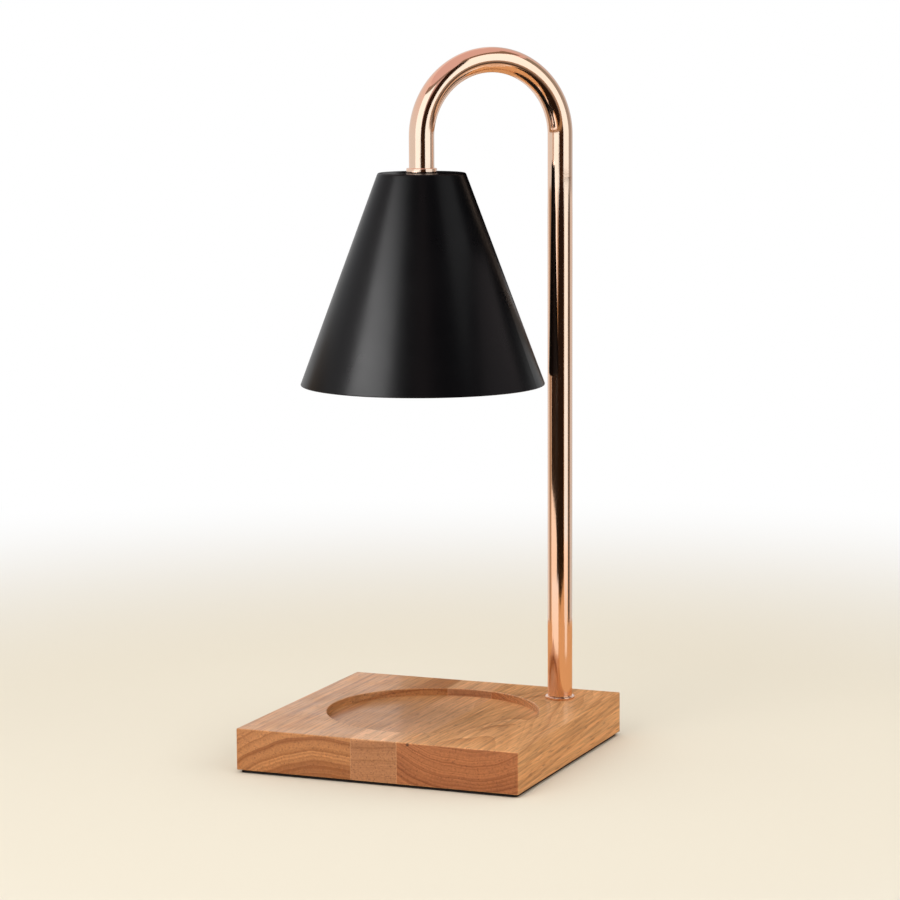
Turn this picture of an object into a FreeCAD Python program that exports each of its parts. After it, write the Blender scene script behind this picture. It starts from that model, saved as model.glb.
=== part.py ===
"""Candle warmer lamp, in millimetres.

A square base of three glued staves carries a bent tube at one corner. The tube ends over a round
recess for a jar candle, and holds a cone shade with a twist-lock (GU10) reflector bulb inside.
Origin: centre of the pad's underside. +Z is up, X and Y run along the sides of the base.
"""
import FreeCAD, Part
import math
import os

import Sketcher

Vector = FreeCAD.Vector

# --- Driving sizes ------------------------------------------------------------------------------
SIZES = {
    # base
    "base_side": 150.0,             # length of each side of the square
    "base_thick": 21.0,
    "middle_stave_width": 24.4,     # the three staves run along Y
    "right_stave_width": 63.6,
    "arris_round": 0.6,             # softened outer edges
    "recess_dia": 108.0,            # seat of the jar candle
    "recess_depth": 4.0,
    "recess_round": 0.5,
    "pad_thick": 1.5,
    "pad_inset": 1.5,
    "pad_corner": 2.0,
    # gooseneck
    "pole_inset": 24.5,             # pole axis to the right side and to the back of the base
    "tube_od": 12.7,
    "tube_wall": 1.3,
    "pole_height": 289.3,           # straight length from the base collar to the bend
    "bend_radius": 38.0,
    "short_leg": 15.2,              # straight length from the bend to the shade collar
    "base_collar_lip": 1.25,        # collar stands out past the tube by this much
    "base_collar_thick": 1.6,
    "shade_collar_lip": 1.35,
    "shade_collar_thick": 2.4,
    "collar_round": 0.6,
    # threaded ends and their fasteners
    "nipple_wall": 1.25,
    "nipple_hold": 12.0,            # length screwed into the tube
    "nipple_proud": 1.0,            # length past the nut
    "nipple_chamfer": 0.5,
    "thread_gap": 0.05,
    "slip_gap": 0.15,
    "seat_thick": 6.0,              # wood clamped under the pole
    "pocket_dia": 27.0,             # room for the nut under the pole
    "fender_dia": 24.0,
    "fender_thick": 1.2,
    "lock_washer_dia": 15.0,
    "lock_washer_thick": 0.8,
    "lock_washer_tooth": 1.4,
    "nut_flats": 14.0,
    "nut_thick": 3.0,
    "nut_crown": 0.6,               # from the flats to the turned-off corners
    "bush_flange": 0.8,
    "bush_length": 5.0,
    "bush_bore": 5.6,
    # splices and cord gland
    "splice_roof": 4.5,             # wood between the splice pocket and the candle recess
    "splice_pocket_length": 32.5,   # from the pole axis towards the middle
    "splice_pocket_front": 10.5,    # from the pole axis towards the front
    "splice_pocket_back": 11.5,     # from the pole axis towards the back
    "splice_cap_dia": 5.5,
    "splice_cap_length": 15.0,
    "splice_cap_bore": 2.3,
    "splice_cap_bore_depth": 9.0,
    "splice_cap_round": 1.4,
    "splice_spread": 2.95,          # half the distance between the two caps
    "splice_mouth": 14.0,           # from the pole axis to the mouths of the caps
    "gland_shift": 14.5,            # from the pole axis along the back of the base
    "gland_margin": 2.0,            # wood under the gland's flange
    "gland_body_dia": 8.0,
    "gland_flange_dia": 10.5,
    "gland_flange_thick": 2.0,
    "gland_lip_dia": 9.2,
    "gland_lip_thick": 1.2,
    "gland_bore": 6.0,
    # shade
    "shade_height": 106.0,
    "shade_top_dia": 44.0,
    "shade_bottom_dia": 123.0,
    "shade_wall": 1.0,
    "shade_hem": 2.5,
    "shade_edge_round": 1.2,
    "shade_rim_round": 0.35,
    # lamp holder
    "bracket_thick": 1.5,
    "bracket_width": 12.0,
    "bracket_height": 16.0,
    "bracket_foot": 7.4,            # length of each inward foot
    "bracket_side": 4.6,            # from the holder screw to the outside of the leg
    "bracket_bend": 0.8,            # inner radius of its bends
    "holder_dia": 30.0,
    "holder_height": 18.0,
    "holder_face_thick": 4.0,
    "holder_edge_round": 1.0,
    "holder_screw_radius": 10.5,
    "holder_screw_dia": 2.9,
    "holder_screw_head_dia": 5.4,
    "holder_screw_head_thick": 1.8,
    "holder_screw_proud": 1.0,      # length past the bracket
    "holder_rivet_radius": 11.2,
    "holder_rivet_dia": 2.4,
    "holder_rivet_head_dia": 4.2,
    "holder_rivet_head_thick": 0.7,
    "holder_rivet_angle": 150.0,
    "cavity_inner": 2.2,
    "cavity_outer": 8.3,
    "cavity_depth": 11.0,
    "cavity_margin": 36.0,          # degrees past the pin at either end of its travel
    "wire_hole_dia": 3.0,
    "contact_thick": 0.35,
    "contact_height": 8.0,
    "contact_half_angle": 24.0,
    "contact_roof_width": 2.4,
    "contact_barrel_length": 4.0,
    "contact_gap": 0.2,             # from the spring contact to the pin's head
    # twist-lock bulb
    "bulb_twist": 40.0,             # degrees from locked to the insertion holes
    "bulb_face_gap": 0.3,
    "pin_radius": 5.0,              # pin axis from the bulb axis
    "pin_neck_dia": 3.2,
    "pin_head_dia": 5.0,
    "pin_head_thick": 2.6,
    "pin_root": 5.0,                # length held in the ceramic base
    "pin_round": 0.5,
    "pin_gap": 0.3,
    "bulb_base_dia": 24.0,
    "bulb_base_length": 17.0,
    "bulb_base_shoulder": 10.0,     # length before the taper
    "bulb_base_edge": 1.0,
    "bulb_base_foot_dia": 21.2,
    "bulb_base_web": 8.0,           # solid ceramic above the neck
    "bulb_neck_dia": 17.6,
    "bulb_dia": 50.0,
    "bulb_length": 48.5,            # without the pins
    "bulb_rim_height": 2.9,
    "bulb_bowl_curve": 46.0,        # radius of the bowl's section
    "bulb_glass": 1.2,
    "bulb_lens_thick": 2.0,
    "capsule_dia": 9.6,
    "capsule_length": 16.0,
    "capsule_drop": 2.6,            # from the mouth of the base to the capsule's shoulder
    "capsule_glass": 0.8,
    "pinch_width": 7.0,
    "pinch_thick": 2.6,
    "filament_dia": 1.4,
    "filament_length": 5.0,
    "filament_drop": 9.6,
    "filament_leg_dia": 0.5,
    # leads
    "lead_dia": 1.9,
    "lead_spread": 1.15,            # half the distance between the leads in the tube
    "lead_easy_bend": 7.0,
    "lead_tight_bend": 4.0,         # where the leads leave the foot of the pole
    "lead_foot_run": 5.5,
    "lead_hold": 8.0,               # length inside the splice cap
}

# --- Worked-out sizes and places ----------------------------------------------------------------
PLACES = {
    "half_side": "Sizes.base_side/2",
    "base_top_z": "Sizes.pad_thick + Sizes.base_thick",
    "right_stave_x": "half_side - Sizes.right_stave_width",
    "middle_stave_x": "right_stave_x - Sizes.middle_stave_width",
    "pole_xy": "half_side - Sizes.pole_inset",
    "tube_bore": "Sizes.tube_od - 2*Sizes.tube_wall",
    "tube_foot_z": "base_top_z + Sizes.base_collar_thick",
    "spring_z": "tube_foot_z + Sizes.pole_height",
    "tube_end_z": "spring_z - Sizes.short_leg",
    "span": "2*Sizes.bend_radius",
    "shade_xy": "pole_xy - span/sqrt(2)",
    "shade_top_z": "tube_end_z - Sizes.shade_collar_thick",
    "shade_rim_z": "shade_top_z - Sizes.shade_height",
    "shade_ceiling_z": "shade_top_z - Sizes.shade_wall",
    "nipple_dia": "tube_bore - 2*Sizes.thread_gap",
    "nipple_bore": "nipple_dia - 2*Sizes.nipple_wall",
    "nipple_hole": "nipple_dia + 2*Sizes.slip_gap",
    "stack_thick": "Sizes.lock_washer_thick + Sizes.nut_thick",
    "lower_seat_z": "base_top_z - Sizes.seat_thick",
    "lower_nut_z": "lower_seat_z - Sizes.fender_thick - stack_thick",
    "lower_nipple_z": "lower_nut_z - Sizes.nipple_proud",
    "lower_nipple_length": "tube_foot_z + Sizes.nipple_hold - lower_nipple_z",
    "upper_seat_z": "shade_ceiling_z - Sizes.bracket_thick",
    "upper_nut_z": "upper_seat_z - stack_thick",
    "upper_nipple_z": "upper_nut_z - Sizes.nipple_proud",
    "upper_nipple_length": "tube_end_z + Sizes.nipple_hold - upper_nipple_z",
    "splice_pocket_depth": "Sizes.base_thick - Sizes.recess_depth - Sizes.splice_roof",
    "splice_z": "Sizes.pad_thick + Sizes.slip_gap + Sizes.splice_cap_dia/2",
    "gland_x": "pole_xy - Sizes.gland_shift",
    "gland_z": "Sizes.pad_thick + Sizes.gland_margin + Sizes.slip_gap + Sizes.gland_flange_dia/2",
    "gland_length": "half_side - pole_xy - Sizes.splice_pocket_back",
    "cone_slope": "(Sizes.shade_bottom_dia - Sizes.shade_top_dia)/2/Sizes.shade_height",
    "cone_wall_run": "Sizes.shade_wall*sqrt(1 + cone_slope^2)",
    "bracket_reach": "Sizes.holder_screw_radius + Sizes.bracket_side",
    "holder_back_z": "shade_ceiling_z - Sizes.bracket_height",
    "holder_split_z": "holder_back_z - Sizes.holder_height",
    "holder_face_z": "holder_split_z - Sizes.holder_face_thick",
    "bulb_top_z": "holder_face_z - Sizes.bulb_face_gap",
    "bulb_lens_z": "bulb_top_z - Sizes.bulb_length",
    "pin_neck_length": "Sizes.bulb_face_gap + Sizes.holder_face_thick + Sizes.pin_gap",
    "contact_top_z": "holder_split_z + Sizes.slip_gap + Sizes.contact_height"
    " + Sizes.contact_barrel_length",
    "contact_inner": "Sizes.pin_radius + Sizes.pin_head_dia/2 + Sizes.contact_gap",
    "keyhole_dia": "Sizes.pin_head_dia + 2*Sizes.pin_gap",
    "keyway_width": "Sizes.pin_neck_dia + 2*Sizes.pin_gap",
}

ARM_ANGLE = 225.0       # the arm points along the diagonal of the base, towards the front left corner
HOLDER_ANGLE = 135.0    # the bulb pins lie across the arm
VOLUME_SLACK = 0.01     # a bent lead may differ from its length times its section by this share
SIDES = {"live": 1, "neutral": -1}

doc = FreeCAD.newDocument("candle_warmer_lamp")


# --- Sheets and small helpers -------------------------------------------------------------------
def make_sheet(name, rows, prefix=""):
    """One row per value: its alias in column A and the number or formula in column B."""
    sheet = doc.addObject("Spreadsheet::Sheet", name)
    for row, (alias, value) in enumerate(rows.items(), start=1):
        sheet.set(f"A{row}", alias)
        sheet.set(f"B{row}", f"{prefix}{value}")
        sheet.setAlias(f"B{row}", alias)
    return sheet


sizes = make_sheet("Sizes", SIZES)
places = make_sheet("Places", PLACES, prefix="=")
doc.recompute()


def value(expression):
    """The number that an expression over the two sheets gives."""
    return float(sizes.evalExpression(str(expression)))


def place(obj, x="0", y="0", z="0", turn=0.0, axis=(0, 0, 1)):
    """Binds an object's Placement to expressions."""
    obj.setExpression(
        "Placement",
        f"create(<<placement>>; create(<<vector>>; {x}; {y}; {z});"
        f" create(<<rotation>>; create(<<vector>>; {axis[0]}; {axis[1]}; {axis[2]}); {turn}))",
    )
    return obj


def new_body(label):
    body = doc.addObject("PartDesign::Body", label)
    body.Label = label
    return body


def new_sketch(body, name, role="XY_Plane", height=None):
    """A sketch on one of the body's own origin planes, lifted along its normal by an expression."""
    sketch = body.newObject("Sketcher::SketchObject", f"{body.Name}_{name}")
    plane = next(f for f in body.Origin.OriginFeatures if f.Role == role)
    sketch.AttachmentSupport = (plane, [""])
    sketch.MapMode = "FlatFace"
    if height is not None:
        sketch.setExpression("AttachmentOffset.Base.z", height)
    return sketch


def pin_point(sketch, curve, end, x, y):
    """Holds one end of a curve at the place that two expressions give."""
    for kind, expression in (("DistanceX", x), ("DistanceY", y)):
        number = sketch.addConstraint(
            Sketcher.Constraint(kind, -1, 1, curve, end, value(expression))
        )
        sketch.setExpression(f"Constraints[{number}]", str(expression))


def add_stretch(sketch, start, end, radius=None):
    """Adds a line, or an arc of the given radius, and returns its number and those of its ends.
    The arc runs anticlockwise if the radius is positive, and clockwise if it is negative."""
    if radius is None:
        return sketch.addGeometry(Part.LineSegment(start, end)), 1, 2
    chord = end - start
    left = Vector(-chord.y, chord.x, 0).normalize()
    rise = math.copysign(math.sqrt(radius**2 - (chord.Length / 2) ** 2), radius)
    centre = (start + end) / 2 + left * rise
    angles = [math.atan2(p.y - centre.y, p.x - centre.x) for p in (start, end)]
    if radius < 0:
        angles.reverse()
    circle = Part.Circle(centre, Vector(0, 0, 1), abs(radius))
    curve = sketch.addGeometry(Part.ArcOfCircle(circle, *angles))
    return (curve, 1, 2) if radius > 0 else (curve, 2, 1)


def draw_outline(sketch, points):
    """A closed outline. Each point is (x, y), or (x, y, radius) where an arc starts."""
    corners = [Vector(value(point[0]), value(point[1]), 0) for point in points]
    stretches = []
    for k, point in enumerate(points):
        radius = value(point[2]) if len(point) > 2 else None
        stretches.append(add_stretch(sketch, corners[k], corners[(k + 1) % len(points)], radius))
    for k, (curve, begin, finish) in enumerate(stretches):
        after = (k + 1) % len(points)
        pin_point(sketch, curve, begin, *points[k][:2])
        if len(points[k]) > 2:
            number = sketch.addConstraint(
                Sketcher.Constraint("Radius", curve, abs(value(points[k][2])))
            )
            sketch.setExpression(f"Constraints[{number}]", f"abs({points[k][2]})")
            pin_point(sketch, curve, finish, *points[after][:2])
        else:
            following, start, _ = stretches[after]
            sketch.addConstraint(
                Sketcher.Constraint("Coincident", curve, finish, following, start)
            )
    return sketch


def draw_rectangle(sketch, x_low, x_high, y_low, y_high):
    return draw_outline(
        sketch, [(x_low, y_low), (x_high, y_low), (x_high, y_high), (x_low, y_high)]
    )


def draw_circle(sketch, diameter, x="0", y="0"):
    circle = Part.Circle(Vector(value(x), value(y), 0), Vector(0, 0, 1), value(diameter) / 2)
    curve = sketch.addGeometry(circle)
    number = sketch.addConstraint(Sketcher.Constraint("Diameter", curve, value(diameter)))
    sketch.setExpression(f"Constraints[{number}]", diameter)
    pin_point(sketch, curve, 3, x, y)
    return sketch


def draw_sector(sketch, r_in, r_out, from_angle, to_angle):
    """Part of a ring about the origin, between two angles in degrees."""
    corner = [
        (f"({r})*cos({a})", f"({r})*sin({a})")
        for r, a in ((r_in, from_angle), (r_out, from_angle), (r_out, to_angle), (r_in, to_angle))
    ]
    return draw_outline(
        sketch, [corner[0], (*corner[1], r_out), corner[2], (*corner[3], f"-({r_in})")]
    )


def pad(sketch, length, both_ways=False):
    feature = sketch.getParentGeoFeatureGroup().newObject("PartDesign::Pad", f"{sketch.Name}_pad")
    feature.Profile = sketch
    feature.setExpression("Length", length)
    feature.Midplane = both_ways
    doc.recompute()
    return feature


def pocket(sketch, depth, upward=False):
    """Cuts from the sketch down, or up, and stops if nothing was cut."""
    body = sketch.getParentGeoFeatureGroup()
    before = body.Shape.Volume
    feature = body.newObject("PartDesign::Pocket", f"{sketch.Name}_pocket")
    feature.Profile = sketch
    feature.setExpression("Length", depth)
    feature.Reversed = upward
    doc.recompute()
    if not feature.Shape.Volume < before:
        raise RuntimeError(f"{sketch.Name} cuts nothing")
    return feature


def revolve(sketch):
    """A full turn about the sketch's vertical axis."""
    body = sketch.getParentGeoFeatureGroup()
    feature = body.newObject("PartDesign::Revolution", f"{sketch.Name}_turned")
    feature.Profile = sketch
    feature.ReferenceAxis = (sketch, ["V_Axis"])
    feature.Angle = 360.0
    doc.recompute()
    return feature


def polar_pattern(body, features, copies):
    """Repeats the features evenly about the body's Z axis."""
    axis = next(f for f in body.Origin.OriginFeatures if f.Role == "Z_Axis")
    pattern = body.newObject("PartDesign::PolarPattern", f"{body.Name}_pattern")
    pattern.Originals = features
    pattern.Axis = (axis, [""])
    pattern.Angle = 360.0
    pattern.Occurrences = copies
    body.Tip = pattern
    doc.recompute()
    return pattern


def round_edges(body, radius, wanted):
    """Fillets the edges of the body whose points all pass a test."""
    base = body.Tip
    names = []
    for number, edge in enumerate(base.Shape.Edges, start=1):
        first, last = edge.ParameterRange
        points = [edge.valueAt(first + (last - first) * k / 4) for k in range(5)]
        if not edge.Degenerated and all(wanted(p) for p in points):
            names.append(f"Edge{number}")
    if not names:
        raise RuntimeError(f"{body.Label} has no edge to round")
    fillet = body.newObject("PartDesign::Fillet", f"{body.Name}_round_{len(body.Group)}")
    fillet.Base = (base, names)
    fillet.setExpression("Radius", radius)
    doc.recompute()
    return fillet


def near(a, b):
    return abs(a - b) < 1e-4


def on_ring(diameter, height):
    """A test for points on a circle about the Z axis at a height, both given as expressions."""
    radius, z = value(diameter) / 2, value(height)
    return lambda p: near(math.hypot(p.x, p.y), radius) and near(p.z, z)


def turned_body(label, points):
    """A body turned about Z from an outline of (radius, height) points."""
    body = new_body(label)
    revolve(draw_outline(new_sketch(body, "section", "XZ_Plane"), points))
    return body


def ring_body(label, inner_dia, outer_dia, thick):
    inner, outer = f"({inner_dia})/2", f"({outer_dia})/2"
    return turned_body(label, [(inner, "0"), (outer, "0"), (outer, thick), (inner, thick)])


def group(label, members):
    """Several separate solids of one kind as one sub-part."""
    compound = doc.addObject("Part::Compound", label)
    compound.Label = label
    compound.Links = members
    return compound


# --- Base ---------------------------------------------------------------------------------------
def make_stave(label, x_low, x_high, outer_sides):
    """One stave of the base, drawn from its underside up, with its share of the candle recess."""
    body = new_body(label)
    sketch = new_sketch(body, "plan")
    draw_rectangle(sketch, x_low, x_high, "-Places.half_side", "Places.half_side")
    pad(sketch, "Sizes.base_thick")
    half, thick = value("Places.half_side"), value("Sizes.base_thick")

    def outer_edge(p):
        sides = [near(abs(p.y), half)] + [near(p.x, side * half) for side in outer_sides]
        return any(sides) and (near(p.z, 0) or near(p.z, thick)) or sum(sides) == 2

    round_edges(body, "Sizes.arris_round", outer_edge)
    recess = new_sketch(body, "recess", height="Sizes.base_thick")
    draw_circle(recess, "Sizes.recess_dia")
    pocket(recess, "Sizes.recess_depth")
    round_edges(body, "Sizes.recess_round", on_ring("Sizes.recess_dia", "Sizes.base_thick"))
    return place(body, z="Sizes.pad_thick")


def make_right_stave():
    """The stave under the pole also holds the nut pocket, the splice pocket and the gland."""
    body = make_stave("base_stave_right", "Places.right_stave_x", "Places.half_side", (1,))
    centre = ("Places.pole_xy", "Places.pole_xy")
    hole = new_sketch(body, "pole_hole", height="Sizes.base_thick")
    pocket(draw_circle(hole, "Places.nipple_hole", *centre), "Sizes.base_thick")
    nut_room = new_sketch(body, "nut_room")
    draw_circle(nut_room, "Sizes.pocket_dia", *centre)
    pocket(nut_room, "Sizes.base_thick - Sizes.seat_thick", upward=True)
    splice_room = new_sketch(body, "splice_room")
    draw_rectangle(
        splice_room,
        "Places.pole_xy - Sizes.splice_pocket_length",
        "Places.pole_xy",
        "Places.pole_xy - Sizes.splice_pocket_front",
        "Places.pole_xy + Sizes.splice_pocket_back",
    )
    pocket(splice_room, "Places.splice_pocket_depth", upward=True)
    for name, dia, gap, depth in (
        ("gland_hole", "Sizes.gland_body_dia", "Sizes.thread_gap", "Places.gland_length"),
        ("gland_seat", "Sizes.gland_flange_dia", "Sizes.slip_gap", "Sizes.gland_flange_thick"),
    ):
        hole = new_sketch(body, name, "XZ_Plane", height="-Places.half_side")
        place_on_back = ("Places.gland_x", "Places.gland_z - Sizes.pad_thick")
        pocket(draw_circle(hole, f"{dia} + 2*{gap}", *place_on_back), depth, upward=True)
    return body


def make_pad():
    body = new_body("base_pad")
    reach = "(Places.half_side - Sizes.pad_inset)"
    plan = draw_rectangle(new_sketch(body, "plan"), f"-{reach}", reach, f"-{reach}", reach)
    pad(plan, "Sizes.pad_thick")
    corner = value(reach)
    round_edges(body, "Sizes.pad_corner", lambda p: near(abs(p.x), corner) and near(abs(p.y), corner))
    return body


def make_gland():
    """Rubber bush for the mains cord, drawn along Z with its sunk flange at the top."""
    bore, neck = "Sizes.gland_bore/2", "Sizes.gland_body_dia/2"
    flange, lip = "Sizes.gland_flange_dia/2", "Sizes.gland_lip_dia/2"
    top, foot = "Places.gland_length", "-Sizes.gland_lip_thick"
    seat = f"{top} - Sizes.gland_flange_thick"
    body = turned_body(
        "cord_gland",
        [
            (bore, foot),
            (neck, foot),
            (lip, "0"),
            (neck, "0"),
            (neck, seat),
            (flange, seat),
            (flange, top),
            (bore, top),
        ],
    )
    round_edges(body, "Sizes.collar_round", on_ring("Sizes.gland_flange_dia", top))
    return place(
        body,
        x="Places.gland_x",
        y="Places.half_side - Places.gland_length",
        z="Places.gland_z",
        turn=-90.0,
        axis=(1, 0, 0),
    )


def at_pole(body, z):
    return place(body, "Places.pole_xy", "Places.pole_xy", z)


def at_shade(body, z, turn=0.0):
    return place(body, "Places.shade_xy", "Places.shade_xy", z, turn)


# --- Gooseneck and its fasteners ----------------------------------------------------------------
def make_tube():
    """One bent tube: the pole, a half-round bend and the short leg over the shade."""
    body = new_body("gooseneck_tube")
    path = new_sketch(body, "path", "XZ_Plane")
    height, leg = value("Sizes.pole_height"), value("Sizes.short_leg")
    radius, span = value("Sizes.bend_radius"), value("Places.span")
    corners = [Vector(*c, 0) for c in ((0, 0), (0, height), (span, height), (span, height - leg))]
    pole, _, pole_top = add_stretch(path, *corners[:2])
    bend, bend_start, bend_end = add_stretch(path, *corners[1:3], -radius)
    drop, drop_top, drop_foot = add_stretch(path, *corners[2:])
    pin_point(path, pole, 1, "0", "0")
    pin_point(path, pole, pole_top, "0", "Sizes.pole_height")
    path.addConstraint(Sketcher.Constraint("Coincident", pole, pole_top, bend, bend_start))
    pin_point(path, bend, 3, "Sizes.bend_radius", "Sizes.pole_height")
    path.addConstraint(Sketcher.Constraint("Coincident", bend, bend_end, drop, drop_top))
    path.addConstraint(Sketcher.Constraint("Horizontal", bend, 3, bend, bend_end))
    pin_point(path, drop, drop_foot, "Places.span", "Sizes.pole_height - Sizes.short_leg")
    section = new_sketch(body, "section")
    draw_circle(section, "Sizes.tube_od")
    draw_circle(section, "Places.tube_bore")
    pipe = body.newObject("PartDesign::AdditivePipe", "gooseneck_pipe")
    pipe.Profile = section
    pipe.Spine = (path, [])
    doc.recompute()
    return place(body, "Places.pole_xy", "Places.pole_xy", "Places.tube_foot_z", ARM_ANGLE)


def make_collar(label, lip, thick):
    """Plated ring between the tube's end and what it stands on."""
    outer = f"Sizes.tube_od + 2*{lip}"
    body = ring_body(label, "Places.nipple_hole", outer, thick)
    round_edges(
        body,
        "Sizes.collar_round",
        lambda p: on_ring(outer, "0")(p) or on_ring(outer, thick)(p),
    )
    return body


def make_nipple(label, length):
    """Threaded pipe that is screwed into the tube and carries the nut."""
    bore, outer, edge = "Places.nipple_bore/2", "Places.nipple_dia/2", "Sizes.nipple_chamfer"
    return turned_body(
        label,
        [
            (bore, "0"),
            (f"{outer} - {edge}", "0"),
            (outer, edge),
            (outer, f"{length} - {edge}"),
            (f"{outer} - {edge}", length),
            (bore, length),
        ],
    )


def make_lock_washer(label):
    """External-tooth lock washer."""
    teeth = 10
    body = ring_body(
        label, "Places.nipple_hole", "Sizes.lock_washer_dia", "Sizes.lock_washer_thick"
    )
    notch = new_sketch(body, "notch", height="Sizes.lock_washer_thick")
    outer = "Sizes.lock_washer_dia/2"
    half = "Sizes.lock_washer_tooth/2"
    draw_rectangle(notch, f"{outer} - Sizes.lock_washer_tooth", f"{outer} + {half}", f"-{half}", half)
    polar_pattern(body, [pocket(notch, "Sizes.lock_washer_thick")], teeth)
    return body


def make_nut(label):
    """Hexagon nut with its corners turned off."""
    prism = doc.addObject("Part::Prism", f"{label}_prism")
    prism.Polygon = 6
    prism.setExpression("Circumradius", "Sizes.nut_flats/sqrt(3)")
    prism.setExpression("Height", "Sizes.nut_thick")
    ball = doc.addObject("Part::Sphere", f"{label}_ball")
    ball.setExpression("Radius", "Sizes.nut_flats/2 + Sizes.nut_crown")
    place(ball, z="Sizes.nut_thick/2")
    blank = doc.addObject("Part::Common", f"{label}_blank")
    blank.Base, blank.Tool = prism, ball
    bore = doc.addObject("Part::Cylinder", f"{label}_bore")
    bore.setExpression("Radius", "Places.nipple_dia/2 + Sizes.thread_gap")
    bore.setExpression("Height", "Sizes.nut_thick")
    nut = doc.addObject("Part::Cut", label)
    nut.Base, nut.Tool = blank, bore
    nut.Label = label
    return nut


def make_bush(label):
    """Plastic thread protector in the free end of a nipple, drawn with its flange at the bottom."""
    bore, flange = "Sizes.bush_bore/2", "Places.nipple_dia/2"
    plug = "Places.nipple_bore/2 - Sizes.thread_gap"
    lip, top = "Sizes.bush_flange", "Sizes.bush_flange + Sizes.bush_length"
    return turned_body(
        label, [(bore, "0"), (flange, "0"), (flange, lip), (plug, lip), (plug, top), (bore, top)]
    )


def make_splice_cap(side):
    """Closed-end crimp cap, drawn along Z with its mouth at the top, laid along X."""
    radius, bore = "Sizes.splice_cap_dia/2", "Sizes.splice_cap_bore/2"
    length = "Sizes.splice_cap_length"
    body = turned_body(
        f"splice_cap_{side}",
        [
            ("0", "0"),
            (radius, "0"),
            (radius, length),
            (bore, length),
            (bore, f"{length} - Sizes.splice_cap_bore_depth"),
            ("0", f"{length} - Sizes.splice_cap_bore_depth"),
        ],
    )
    round_edges(body, "Sizes.splice_cap_round", on_ring("Sizes.splice_cap_dia", "0"))
    return place(
        body,
        x="Places.pole_xy - Sizes.splice_mouth - Sizes.splice_cap_length",
        y=f"Places.pole_xy + ({SIDES[side]})*Sizes.splice_spread",
        z="Places.splice_z",
        turn=90.0,
        axis=(0, 1, 0),
    )


# --- Shade --------------------------------------------------------------------------------------
def make_shade():
    """Spun cone with a flat top and a folded hem, drawn from its rim up."""
    height, wall, run = "Sizes.shade_height", "Sizes.shade_wall", "Places.cone_wall_run"
    rim, top = "Sizes.shade_bottom_dia/2", "Sizes.shade_top_dia/2"
    slope, hem, hole = "Places.cone_slope", "Sizes.shade_hem", "Places.nipple_hole/2"
    body = turned_body(
        "shade",
        [
            (f"{rim} - 2*{run}", "0"),
            (rim, "0"),
            (top, height),
            (hole, height),
            (hole, f"{height} - {wall}"),
            (f"{top} + {slope}*{wall} - {run}", f"{height} - {wall}"),
            (f"{rim} - {slope}*{hem} - {run}", hem),
            (f"{rim} - {slope}*{hem} - 2*{run}", hem),
        ],
    )
    round_edges(body, "Sizes.shade_edge_round", on_ring("Sizes.shade_top_dia", height))
    inner_rim = "Sizes.shade_bottom_dia - 4*Places.cone_wall_run"
    round_edges(
        body,
        "Sizes.shade_rim_round",
        lambda p: on_ring("Sizes.shade_bottom_dia", "0")(p) or on_ring(inner_rim, "0")(p),
    )
    return at_shade(body, "Places.shade_rim_z")


# --- Lamp holder --------------------------------------------------------------------------------
def make_bracket():
    """Bent strap under the shade's top, with inward feet that the holder is screwed to."""
    thick, drop, reach = "Sizes.bracket_thick", "Sizes.bracket_height", "Places.bracket_reach"
    foot = f"({reach} - Sizes.bracket_foot)"
    right = [
        (reach, "0"),
        (reach, f"-{drop}"),
        (foot, f"-{drop}"),
        (foot, f"{thick} - {drop}"),
        (f"({reach} - {thick})", f"{thick} - {drop}"),
        (f"({reach} - {thick})", f"-{thick}"),
    ]
    left = [(f"-{x}", z) for x, z in reversed(right)]
    body = new_body("holder_bracket")
    strip = draw_outline(new_sketch(body, "strip", "YZ_Plane"), right + left)
    pad(strip, "Sizes.bracket_width", both_ways=True)
    outer, low = value(reach), value(drop)
    inner, plate = outer - value(thick), value(thick)

    def at_corner(across, heights):
        return lambda p: near(abs(p.y), across) and any(near(p.z, -h) for h in heights)

    round_edges(body, f"Sizes.bracket_bend + {thick}", at_corner(outer, (0, low)))
    round_edges(body, "Sizes.bracket_bend", at_corner(inner, (plate, low - plate)))
    nipple_hole = new_sketch(body, "nipple_hole")
    pocket(draw_circle(nipple_hole, "Places.nipple_hole"), thick)
    tapped = new_sketch(body, "tapped_holes", height=f"-{drop}")
    for side in ("", "-"):
        draw_circle(
            tapped,
            "Sizes.holder_screw_dia + 2*Sizes.thread_gap",
            "0",
            f"{side}Sizes.holder_screw_radius",
        )
    pocket(tapped, thick, upward=True)
    return at_shade(body, "Places.shade_ceiling_z", HOLDER_ANGLE)


def cut_fastener_holes(body, size, depth):
    """A hole for each screw and rivet, of its size with a clearance, from the lower face up."""
    angle = "Sizes.holder_rivet_angle"
    centres = {
        "screw": ("0", "Sizes.holder_screw_radius"),
        "rivet": (f"Sizes.holder_rivet_radius*cos({angle})", f"Sizes.holder_rivet_radius*sin({angle})"),
    }
    for name, (x, y) in centres.items():
        holes = new_sketch(body, f"{name}_{size}")
        for side in ("", "-"):
            dia = f"Sizes.holder_{name}_{size} + 2*Sizes.slip_gap"
            draw_circle(holes, dia, f"{side}({x})", f"{side}({y})")
        pocket(holes, depth.format(name), upward=True)


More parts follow.
